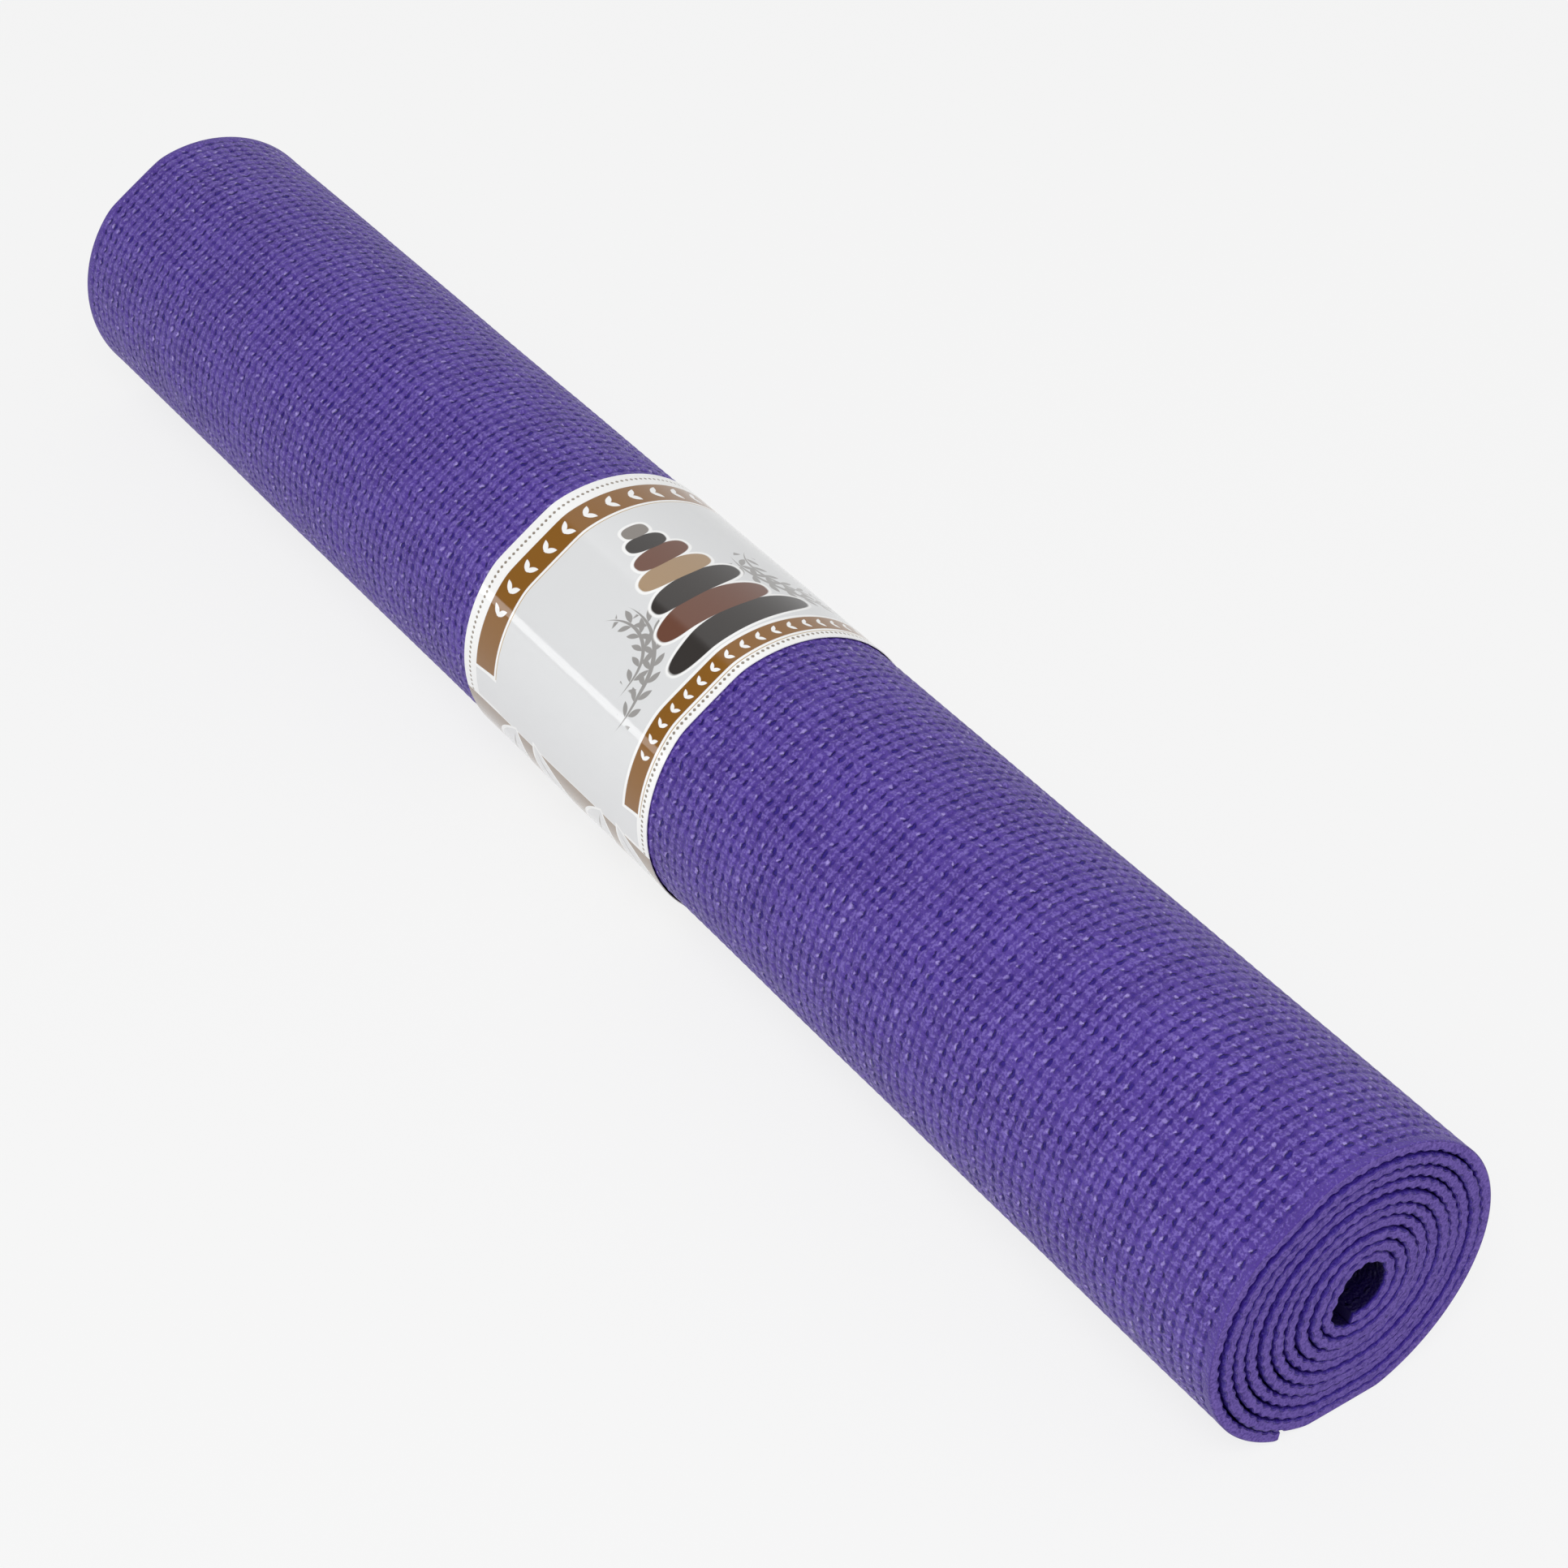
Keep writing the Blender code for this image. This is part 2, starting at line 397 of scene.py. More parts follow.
        # Painted highlight where the relief stands high, and painted shade where it dips.
        high, low = [
            add(tree, "MapRange", (grained, *limits, 0.0, cover),
                interpolation_type="SMOOTHSTEP")
            for limits, cover in ((self.crest_highlight_range, self.crest_highlight_cover),
                                  (self.dip_shade_range, self.dip_shade_cover))
        ]
        # Inks over the random tone: painted highlight on crests and beads, painted shade in
        # dips, pits and gaps.
        colour = inked(
            tree, linear(self.shade), (tone, self.crown), (high, self.crest_highlight),
            (low, self.pit), (painted_glint_bead, self.painted_glint_bead), (pit, self.pit), *painted_gap_shade(tree))
        rough = add(tree, "MapRange", (
            painted_glint_bead, *self.bead_gloss_from, self.roughness, self.bead_roughness))
        feed(tree, shader, {
            "Base Color": colour, "Roughness": rough, "Normal": bump, "IOR": self.refraction,
        })
        return material


@dataclass(frozen=True)
class CutFoam:
    """PVC foam where a blade has cut the sheet to size.

    The blade opens the cells, so the edge is matt, a little paler than the
    skin, and full of fine pores.
    """

    name: str = "cut_pvc_foam"
    pale: str = "#6B54A6"
    deep: str = "#3E2778"
    roughness: float = 0.8
    pore_mm: float = 0.45
    pore_depth_mm: float = 0.08
    grain_mm: float = 0.9
    grain_range: Pair = (0.36, 0.6)

    def material(self) -> bpy.types.Material:
        """Build the material.

        Returns:
            The finished material.
        """
        material, tree, shader = new_material(self.name)
        place = add(tree, "TexCoord").outputs["Object"]
        pores = add(tree, "TexVoronoi", {
            "Vector": place, "Scale": 1.0 / (self.pore_mm * MM),
        }).outputs["Distance"]
        cloud = add(tree, "TexNoise", {
            "Vector": place, "Scale": 1.0 / (self.grain_mm * MM), "Detail": 4.0,
            "Roughness": 0.65,
        })
        tone = add(tree, "MapRange", (cloud, *self.grain_range))
        # The gap layers lay painted shade on the cut edge deep in the gaps and the open
        # centre.
        colour = inked(tree, linear(self.deep), (tone, self.pale), *painted_gap_shade(tree))
        bump = add(tree, "Bump", {
            "Height": pores, "Strength": 0.4, "Distance": self.pore_depth_mm * MM,
        })
        feed(tree, shader, {
            "Base Color": colour, "Normal": bump, "Roughness": self.roughness,
        })
        return material


@dataclass(frozen=True)
class RollSection:
    """Spiral that the sheet makes when it is wound up and has settled.

    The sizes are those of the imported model.
    """

    sheet_length: float = MAT_LENGTH
    thickness: float = 0.00315
    core_radius: float = 0.0069
    turn_gap: float = 0.00069
    core_sink: float = 0.0038
    core_sink_deg: float = 322.0
    core_flat_deg: float = 158.0
    core_flat_reach: float = 0.0047
    core_flat_give: float = 0.0008
    core_stretch: float = 0.0009
    core_fade: float = 1.5
    tail_lead_deg: float = 26.3
    flank_flat_deg: float = 122.0
    flank_flat_depth: float = 0.0015
    flat_fade: float = 3.0
    floor_deg: float = 270.0
    floor_give: float = 0.0002
    flank_give: float = 0.0006

    @property
    def pitch(self) -> float:
        """Distance from one turn to the next."""
        return self.thickness + self.turn_gap

    @property
    def core_middle(self) -> float:
        """Radius of the middle of the sheet at its core edge."""
        return self.core_radius + self.thickness / 2.0

    @property
    def tail_angle(self) -> float:
        """Angle of the sheet's free edge."""
        return math.radians(self.floor_deg - self.tail_lead_deg)

    @property
    def turns(self) -> float:
        """Turns that the whole sheet makes."""
        return float(self.turn_at(np.zeros(1))[0])

    def turn_at(self, from_tail: Array) -> Array:
        """Count turns from the core edge.

        Args:
            from_tail: Distances along the sheet from its free edge.

        Returns:
            Turns between the core edge and each point.
        """
        wound = self.core_middle ** 2
        wound = wound + 2.0 * self.pitch * (self.sheet_length - from_tail) / FULL_TURN
        return (np.sqrt(wound) - self.core_middle) / self.pitch

    def along_at(self, turn: float) -> float:
        """Measure along the sheet.

        Args:
            turn: Turns from the core edge.

        Returns:
            Distance of that point from the free edge.
        """
        wound = FULL_TURN * (self.core_middle * turn + self.pitch * turn ** 2 / 2.0)
        return self.sheet_length - wound

    def angle_at(self, turn: Array) -> Array:
        """Angle of each turn count about the roll's axis."""
        return self.tail_angle - FULL_TURN * (self.turns - turn)

    def wound(self, turn: Array, depth: Array) -> Array:
        """Place points of the sheet before the roll settles.

        Args:
            turn: Turns from the core edge.
            depth: Distance from the face that looks at the core, outwards.

        Returns:
            Points as pairs of Y and Z about the roll's axis.
        """
        radius = self.core_radius + self.pitch * turn + depth
        angle = self.angle_at(turn)
        sink = self.core_sink * (1.0 - turn / self.turns)
        round_axis = radius[:, None] * np.stack([np.cos(angle), np.sin(angle)], axis=-1)
        return round_axis + sink[:, None] * self.heading(self.core_sink_deg)

    @staticmethod
    def heading(degrees: float) -> Array:
        """Unit vector at an angle, anticlockwise from +Y."""
        return np.array([math.cos(math.radians(degrees)), math.sin(math.radians(degrees))])

    def flats(self) -> list[tuple[Array, float, float]]:
        """List where the outside of the roll is pressed flat.

        Returns:
            For each flat, the way it faces, its reach from the axis, and how
            softly the sheet bends into it.
        """
        down, flank = self.heading(self.floor_deg), self.heading(self.flank_flat_deg)
        lead = self.tail_angle - math.radians(self.flank_flat_deg)
        flank_turn = self.turns - lead / FULL_TURN
        ends = self.wound(np.array([self.turns, flank_turn]), np.full(2, self.thickness))
        return [
            (down, float(ends[0] @ down), self.floor_give),
            (flank, float(ends[1] @ flank) - self.flank_flat_depth, self.flank_give),
        ]

    def settled(self, turn: Array, depth: Array) -> Array:
        """Place points of the sheet, pressed flat in two places outside and in one inside.

        Args:
            turn: Turns from the core edge.
            depth: Distance from the face that looks at the core, outwards.

        Returns:
            Points as pairs of Y and Z about the roll's axis.
        """
        point = self.wound(turn, depth)
        outer_turn = turn + np.floor(np.maximum(self.turns - turn, 0.0))
        outermost = self.wound(outer_turn, np.full_like(depth, self.thickness))
        share = np.linalg.norm(point, axis=1) / np.linalg.norm(outermost, axis=1)
        share = share ** self.flat_fade
        for facing, reach, give in self.flats():
            over = outermost @ facing - reach
            point -= (self.past(over, give) * share)[:, None] * facing
        innermost = self.wound(turn - np.floor(turn), np.zeros_like(depth))
        share = np.maximum(1.0 - turn / (self.turns - 1.0), 0.0) ** self.core_fade
        facing = self.heading(self.core_flat_deg)
        aside = np.array([-facing[1], facing[0]])
        over = innermost @ facing - self.core_flat_reach
        point -= (self.past(over, self.core_flat_give) * share)[:, None] * facing
        aslant = innermost @ aside / np.linalg.norm(innermost, axis=1)
        return point + (self.core_stretch * aslant * share)[:, None] * aside

    @staticmethod
    def past(over: Array, give: float) -> Array:
        """Read how far something goes past a limit, with the corner rounded off."""
        return (over + np.sqrt(over ** 2 + give ** 2)) / 2.0

    def outline(self, steps: int) -> Array:
        """Trace what a band drawn taut round the roll would follow.

        Args:
            steps: Points read on the last turn.

        Returns:
            Corners about the roll's axis, anticlockwise from +Y.
        """
        last = np.linspace(self.turns - 1.0, self.turns, steps)
        skin = self.settled(last, np.full(steps, self.thickness))
        kept = skin[convex_hull_2d([Vector(point) for point in skin])]
        order = np.argsort(np.arctan2(kept[:, 1], kept[:, 0]) % FULL_TURN)
        return kept[order]


@dataclass(frozen=True)
class WaffleRelief:
    """Relief that the coated net gives both faces of the sheet.

    Ridges run round the roll. Between two ridges lies a groove, and short
    bars cross it, so that a pit is left in each mesh of the net. Each range
    holds what a random value of 0 and of 1 stand for. A wave's height is a
    share of the wander.
    """

    width: float = MAT_WIDTH
    sheet_length: float = MAT_LENGTH
    cells_across: int = 159
    cell_along: float = 0.00445
    pit_half_width: float = 0.00098
    pit_half_length: float = 0.00150
    pit_depth: float = 0.00088
    groove_depth: float = 0.00024
    crown_dip: float = 0.00014
    seed: int = 11
    shape_tables: int = 5
    shallow_chance: float = 0.12
    shallow_share: float = 0.25
    depth_range: Pair = (0.62, 1.0)
    width_range: Pair = (0.86, 1.14)
    length_range: Pair = (0.84, 1.16)
    bar_range: Pair = (0.55, 1.45)
    pit_wall: Pair = (0.40, 1.15)
    groove_power: float = 1.6
    groove_lost_share: float = 0.6
    wander: float = 0.00022
    calm_end: float = 0.006
    jitter_shares: Pair = (1.3, 1.6)
    side_waves: tuple[Pair, Pair] = ((0.45, 0.0113), (0.35, 0.0047))
    side_swing: Pair = (2.0, 0.031)
    run_waves: tuple[Pair, Pair] = ((0.6, 0.0171), (0.4, 0.0061))
    run_drift: float = 0.043
    cell_phases: Pair = (1.7, 2.3)

    @property
    def cell_across(self) -> float:
        """Distance between neighbouring rows of pits, across the sheet."""
        return self.width / self.cells_across

    def cell_values(self) -> Iterator[Array]:
        """Give random values from 0 to 1 per cell, one table at a time.

        Returns:
            Tables, without end, by column and row of the cell.
        """
        rows = int(self.sheet_length / self.cell_along) + 3
        source = np.random.RandomState(self.seed)
        while True:
            yield source.rand(self.cells_across + 2, rows)

    def cell_of(self, across: Array, along: Array) -> tuple[Array, Array, Array, Array]:
        """Find the pit next to each point.

        Args:
            across: Places across the sheet, from its middle.
            along: Distances from the free edge.

        Returns:
            Column and row of the pit, and how far the point lies from its centre.
        """
        column = np.rint((across + self.width / 2.0) / self.cell_across).astype(int)
        row = np.floor(along / self.cell_along).astype(int)
        row = np.clip(row, 0, int(self.sheet_length / self.cell_along) + 1)
        beside = across + self.width / 2.0 - column * self.cell_across
        beyond = along - (row + 0.5) * self.cell_along
        return column, row, beside, beyond

    def sunk(self, across: Array, along: Array) -> tuple[Array, Array]:
        """Measure the relief.

        Args:
            across: Places across the sheet, from its middle.
            along: Distances from the free edge.

        Returns:
            How far the face lies below the ridges in the pits, and in the grooves.
        """
        column, row, beside, beyond = self.cell_of(across, along)
        tables = self.cell_values()
        ranges = (self.depth_range, self.width_range, self.length_range, self.bar_range)
        depth, wide, long, bars = [
            low + (high - low) * next(tables)[column, row] for low, high in ranges]
        shallow = next(tables)[column, row] < self.shallow_chance
        depth = np.where(shallow, self.shallow_share, depth)
        near = np.hypot(beside / (self.pit_half_width * wide),
                        beyond / (self.pit_half_length * long))
        pit = depth * (1.0 - smooth_step(*self.pit_wall, near))
        groove = (0.5 + 0.5 * np.cos(FULL_TURN * beside / self.cell_across))
        groove = groove ** self.groove_power
        waist = 0.5 + 0.5 * np.cos(FULL_TURN * beyond / self.cell_along)
        grooves = self.groove_depth * bars * groove * (1.0 - self.groove_lost_share * pit)
        return self.pit_depth * pit, grooves + self.crown_dip * waist * (1.0 - groove)

    def wandered(self, across: Array, along: Array) -> tuple[Array, Array]:
        """Shift points of the face so that rows and columns aren't ruled lines.

        Args:
            across: Places across the sheet, from its middle.
            along: Distances from the free edge.

        Returns:
            The shifted places and distances.
        """
        column, row, beside, beyond = self.cell_of(across, along)
        tables = self.cell_values()
        for _ in range(self.shape_tables):
            next(tables)
        centred = np.cos(math.pi * beside / self.cell_across) ** 2
        centred = centred * np.cos(math.pi * beyond / self.cell_along) ** 2
        jitter_x, jitter_s = [
            share * (next(tables)[column, row] - 0.5) * centred
            for share in self.jitter_shares]
        (slow, slow_length), (quick, quick_length) = self.side_waves
        swing, swing_length = self.side_swing
        wave_x = slow * np.sin(along / slow_length + swing * np.sin(across / swing_length))
        wave_x = wave_x + quick * np.sin(along / quick_length + column * self.cell_phases[0])
        (slow, slow_length), (quick, quick_length) = self.run_waves
        wave_s = slow * np.sin(across / slow_length + along / self.run_drift)
        wave_s = wave_s + quick * np.sin(across / quick_length + row * self.cell_phases[1])
        inside = 1.0
        for away in (self.width / 2.0 - np.abs(across), along, self.sheet_length - along):
            inside = inside * smooth_step(0.0, self.calm_end, away)
        return (
            across + self.wander * inside * (wave_x + jitter_x),
            along + self.wander * inside * (wave_s + jitter_s),
        )


@dataclass
class SheetMesh:
    """Points and faces of the closed sheet, gathered row by row."""

    across: list[Array] = field(default_factory=list)
    along: list[Array] = field(default_factory=list)
    side: list[Array] = field(default_factory=list)
    faces: list[list[int]] = field(default_factory=list)
    cut: list[int] = field(default_factory=list)
    part: list[int] = field(default_factory=list)
    count: int = 0

    def row(self, places: Array, along: float, side: SheetSide) -> Array:
        """Add one row of points across the sheet.

        Args:
            places: Where the points lie across the sheet.
            along: Distance of the row from the free edge.
            side: Face of the sheet that it lies on.

        Returns:
            Numbers of the new points.
        """
        size = len(places)
        self.across.append(places)
        self.along.append(np.full(size, along))
        self.side.append(np.full(size, side.value))
        self.count += size
        return np.arange(self.count - size, self.count)

    def keep(self, faces: list[list[int]], cut: bool, part: MapPart) -> None:
        """Take in faces, with their kind and their part of the map."""
        self.faces.extend(faces)
        self.cut.extend([int(cut)] * len(faces))
        self.part.extend([int(part)] * len(faces))

    def strip(self, first: Array, second: Array, cut: bool, part: MapPart) -> None:
        """Add the faces between two rows that share their end places.

        Args:
            first: Numbers of one row's points.
            second: Numbers of the other row's points.
            cut: Whether the faces are part of a cut edge.
            part: Which part of the unrolled map they go to.
        """
        places = np.concatenate(self.across)
        one, two = places[first], places[second]
        if len(one) == len(two) and np.allclose(one, two):
            quads = np.stack([first[:-1], first[1:], second[1:], second[:-1]], axis=1)
            self.keep(quads.tolist(), cut, part)
            return
        faces: list[list[int]] = []
        i = j = 0
        while i < len(one) - 1 or j < len(two) - 1:
            if j == len(two) - 1 or (i < len(one) - 1 and one[i + 1] <= two[j + 1]):
                faces.append([int(first[i]), int(first[i + 1]), int(second[j])])
                i += 1
            else:
                faces.append([int(first[i]), int(second[j + 1]), int(second[j])])
                j += 1
        self.keep(faces, cut, part)


@dataclass
class RolledMat:
    """The laminated foam sheet, rolled up round an open centre.

    A fade holds the distances between which something comes in, and the last
    of the painted gap shade's fades is in turns. A wave of the telescoped ends
    has a height, a rate and a lean, and one of the unevenness has a length,
    turns, a swing and a phase. The bands of the map, each a start and a height,
    are in the order of MapPart.
    """

    section: RollSection = field(default_factory=RollSection)
    relief: WaffleRelief = field(default_factory=WaffleRelief)
    skin: FoamSkin = field(default_factory=FoamSkin)
    cut_edge: CutFoam = field(default_factory=CutFoam)
    name: str = "rolled_foam_mat"
    half_width: float = MAT_WIDTH / 2.0
    edge_round: float = 0.00035
    visible_turns: float = 1.07
    hole_turns: float = 1.06
    hole_depth: float = 0.060
    hole_relief_from: float = 0.04
    telescope: float = 0.0004
    telescope_fade: float = 0.010
    telescope_waves: tuple[Triple, ...] = (
        (0.6, 1.9, 1.3), (0.4, 0.83 * FULL_TURN / 2.7, 0.0))
    tail_slant: float = 0.0008
    tail_slant_fade: float = 0.002
    tail_pinch: float = 0.0004
    tail_pinch_fade: float = 0.003
    swell_deg: float = 315.0
    swell_cosines: Pair = (-0.05, 0.5)
    least_gap: float = 0.00001
    unevenness: float = 0.00022
    uneven_radius: float = 0.0474
    uneven_waves: tuple[tuple[float, float, float, float], ...] = (
        (0.023, 0.0, 2.0, 1.0), (0.051, -3.0, 0.0, 0.0), (0.012, 2.0, 0.0, 0.0))
    cut_relief: float = 0.88
    cut_relief_fade: Pair = (0.0003, 0.0018)
    rim_relief_fade: Pair = (0.0006, 0.0045)
    cut_swell: float = 0.30
    closed_pits: float = 0.25
    # Painted shade deep in the gaps between turns and in the open centre.
    gap_shade_strength: float = 0.8
    gap_shade_fades: tuple[Pair, Pair, Pair] = ((-0.00015, 0.0004), (0.0, 0.0015), (0.0, 0.08))
    hollow_shade_strength: float = 2.0
    hollow_shade_fade: Pair = (-0.0003, 0.0012)
    hollow_shade_turns: Pair = (1.1, 0.08)
    rim_steps_mm: tuple[float, ...] = (0.0, 0.12, 0.35, 0.9, 1.7, 2.6, 3.6)
    cross_steps_mm: tuple[float, ...] = (-1.36, -0.72, 0.0, 0.72, 1.36)
    run_steps_mm: tuple[float, ...] = (-1.72, -1.02, 0.0, 1.02, 1.72)
    clear_of_rim_mm: Pair = (1.2, 1.0)
    clear_of_edge_mm: float = 0.8
    edge_steps: int = 3
    hidden_step: int = 25
    fading_rows: tuple[int, int] = (9, 8)
    kept_rim_points: int = 4
    fold_rows_mm: Pair = (4.0, 3.0)
    map_start: float = 0.005
    map_reach: float = 0.99
    map_bands: tuple[Pair, ...] = (
        (0.005, 0.515), (0.53, 0.13), (0.67, 0.25), (0.93, 0.006), (0.942, 0.006),
        (0.96, 0.006), (0.972, 0.006))

    def across_rows(self) -> tuple[Array, Array, Array]:
        """Lay out the points across the sheet.

        Returns:
            Places for the visible face, for the walls of the open centre, and
            for the faces that no one sees.
        """
        relief, half = self.relief, self.half_width
        centres = -half + relief.cell_across * np.arange(relief.cells_across + 1)
        cells = (centres[:, None] + np.array(self.cross_steps_mm) * MM).ravel()
        ends = half - np.array(self.rim_steps_mm) * MM
        both = np.concatenate([-ends, ends[::-1]])
        within, beyond = self.clear_of_rim_mm
        fine = cells[np.abs(cells) < half - within * MM]
        rims = both[np.abs(both) > half - beyond * MM]
        fine = np.sort(np.concatenate([fine, rims]))
        deep = np.abs(fine) < half - self.hole_depth
        thinned = np.zeros(len(fine), dtype=bool)
        thinned[::self.hidden_step] = True
        return fine, fine[~deep | thinned], np.sort(both)

    def along_rows(self) -> Array:
        """Lay out the rows along the sheet.

        Returns:
            Distances from the free edge at which both faces have a row.
        """
        length, cell = self.section.sheet_length, self.relief.cell_along
        centres = cell * (0.5 + np.arange(int(length / cell) + 1))
        rows = (centres[:, None] + np.array(self.run_steps_mm) * MM).ravel()
        clear = self.clear_of_edge_mm * MM
        rows = rows[(rows > clear) & (rows < length - clear)]
        ends = np.array(self.rim_steps_mm[:self.edge_steps]) * MM
        return np.sort(np.concatenate([rows, ends, length - ends]))

    def thinned_row(self, full: Array, level: int) -> Array:
        """Halve the places of a row level times, but keep those at its ends."""
        ends = self.kept_rim_points
        return np.concatenate([full[:ends], full[ends:-ends][::2 ** level], full[-ends:]])

    def shown_length(self) -> float:
        """Distance from the free edge to where the outside is covered."""
        return self.section.along_at(self.section.turns - self.visible_turns)

    def row_places(self, side: SheetSide) -> list[Array]:
        """Choose the places of every row on one face.

        Rows have many points where the face shows and few where it doesn't,
        and between them each row has half as many as the one before.

        Args:
            side: Face of the sheet.

        Returns:
            Places across the sheet, row by row.
        """
        fine, hole, hidden = self.across_rows()
        rows = self.along_rows()
        fold_tail, fold_core = self.fold_rows_mm
        if side is SheetSide.OUTWARDS:
            shown = rows <= self.shown_length()
            lined = rows >= self.section.sheet_length - fold_core * MM
        else:
            shown = rows <= fold_tail * MM
            lined = rows >= self.section.along_at(self.hole_turns)
        index = np.arange(len(rows))
        past_shown = index - index[shown].max()
        to_lined = index[lined].min() - index
        fading_shown, fading_lined = self.fading_rows
        chosen = []
        for past, before in zip(past_shown.tolist(), to_lined.tolist()):
            if past <= fading_shown:
                chosen.append(self.thinned_row(fine, max(0, past)))
            elif before <= fading_lined:
                chosen.append(self.thinned_row(hole, max(0, before)))
            else:
                chosen.append(hidden)
        return chosen

    def sheet_mesh(self) -> SheetMesh:
        """Join both faces and the cut edges to one closed sheet.

        Returns:
            The gathered points and faces.
        """
        mesh = SheetMesh()
        rows = self.along_rows()
        inner, outer = [
            [mesh.row(where, along, side) for where, along in zip(self.row_places(side), rows)]
            for side in SheetSide
        ]
        mesh.across = [np.concatenate(mesh.across)]
        shown = self.shown_length()
        for row in range(len(rows) - 1):
            outside = MapPart.SHOWN if rows[row] < shown else MapPart.COVERED
            mesh.strip(outer[row + 1], outer[row], False, outside)
            mesh.strip(inner[row], inner[row + 1], False, MapPart.INNER)
            for end, part in ((0, MapPart.FAR_EDGE), (-1, MapPart.NEAR_EDGE)):
                corner = [outer[row][end], outer[row + 1][end]]
                corner += [inner[row + 1][end], inner[row][end]]
                if end == -1:
                    corner.reverse()
                mesh.keep([[int(number) for number in corner]], True, part)
        mesh.strip(outer[0], inner[0], True, MapPart.TAIL_EDGE)
        mesh.strip(inner[-1], outer[-1], True, MapPart.CORE_EDGE)
        return mesh

    def relief_at(self, across: Array, along: Array, outwards: Array,
                  exposed: Array) -> Array:
        """Measure the relief, which fades near the ends and deep in the open centre.

        Args:
            across: Places across the sheet, from its middle.
            along: Distances from the free edge.
            outwards: Whether each point is on the face that looks outwards.
            exposed: Whether it is on the outside of the roll.

        Returns:
            How far each point lies below the ridges.
        """
        pits, grooves = self.relief.sunk(across, along)
        from_end = self.half_width - np.abs(across)
        away = smooth_step(*self.cut_relief_fade, from_end)
        low = pits * (self.cut_relief + (1.0 - self.cut_relief) * away) + grooves * away
        rim = smooth_step(*self.rim_relief_fade, from_end)
        low = np.where(exposed, (pits + grooves) * rim, low)
        unseen = smooth_step(self.hole_relief_from, self.hole_depth, from_end)
        return np.where(outwards, low, low * (1.0 - unseen))

    def gap_shade_at(self, along: Array, turn: Array, outwards: Array, from_end: Array) -> Array:
        """Say how much painted shade each point gets deep in a gap and in the open centre.

        Args:
            along: Distances from the free edge.
            turn: Turns from the core edge.
            outwards: Whether each point is on the face that looks outwards.
            from_end: Distances from the nearer end of the roll.

        Returns:
            Values from 0 to 1, or up to 2 in the open centre.
        """
        end_fade, cover_fade, core_fade = self.gap_shade_fades
        covered_from = self.section.along_at(self.section.turns - 1.0)
        covered = np.where(
            outwards, smooth_step(*cover_fade, along - covered_from),
            smooth_step(*core_fade, turn - 1.0))
        # Painted shade: darker deep in a gap, and darker still in the open centre.
        dark = self.gap_shade_strength * covered * smooth_step(*end_fade, from_end)
        wall, edge = self.hollow_shade_turns
        in_hole = (~outwards & (turn < wall)) | (turn < edge)
        hollow_shade = self.hollow_shade_strength * smooth_step(*self.hollow_shade_fade, from_end)
        return np.where(in_hole, np.maximum(dark, hollow_shade), dark)

    def place_points(self, mesh: SheetMesh) -> tuple[Array, Array]:
        """Roll the sheet up.

        Args:
            mesh: The flat sheet's points.

        Returns:
            Places of the points, and the painted shade that each gets in the gaps.
        """
        section = self.section
        across, along = mesh.across[0], np.concatenate(mesh.along)
        outwards = np.concatenate(mesh.side) == SheetSide.OUTWARDS.value
        exposed = outwards & (along < section.along_at(section.turns - 1.0))
        from_end = self.half_width - np.abs(across)
        from_edge = np.minimum(along, section.sheet_length - along)
        nearest = np.clip(np.minimum(from_end, from_edge), 0.0, self.edge_round)
        rest = self.edge_round - nearest
        inset = self.edge_round - np.sqrt(self.edge_round ** 2 - rest ** 2)
        shifted, run = self.relief.wandered(across, along)
        slant = np.where(outwards, self.tail_slant, 0.0)
        run = run - slant * np.exp(-along / self.tail_slant_fade)
        turn = section.turn_at(run)
        angle = section.angle_at(turn)
        gap = section.turn_gap - section.core_sink / section.turns * np.cos(
            angle - math.radians(section.core_sink_deg))
        tight = smooth_step(*self.swell_cosines, np.cos(angle - math.radians(self.swell_deg)))
        low = self.relief_at(across, along, outwards, exposed)
        low = low * np.where(exposed, 1.0, 1.0 - self.closed_pits * tight)
        swell = np.maximum(gap - self.least_gap, 0.0)
        swell = swell * (self.cut_swell + (1.0 - self.cut_swell) * tight)
        swell = swell - self.tail_pinch * np.exp(-along / self.tail_pinch_fade)
        depth = np.where(outwards, section.thickness - inset - low, inset + low - swell)
        point = section.settled(turn, depth)
        LOG.info("outermost radius %.2f mm", np.linalg.norm(point, axis=1).max() / MM)
        dent = self.unevenness * self.evenness(shifted, angle)
        point *= (1.0 - dent / self.uneven_radius)[:, None]
        end = np.sign(across)
        drawn_in = self.telescope * (1.0 + sum(
            high * np.sin(rate * turn + lean * end)
            for high, rate, lean in self.telescope_waves))
        shifted = shifted - end * drawn_in * np.exp(-from_end / self.telescope_fade)
        places = np.column_stack([shifted, point + (AXIS_Y, AXIS_Z)])
        return places, self.gap_shade_at(along, turn, outwards, from_end)

    def evenness(self, across: Array, angle: Array) -> Array:
        """Measure the long, low unevenness of a hand-rolled mat.

        Args:
            across: Places along the roll, from its middle.
            angle: Angles about its axis.

        Returns:
            Shares from 0 to 1.
        """
        wave = sum(
            np.sin(across / length + turns * angle + swing * np.sin(angle) + phase)
            for length, turns, swing, phase in self.uneven_waves)
        return 0.5 + wave / (2.0 * len(self.uneven_waves))

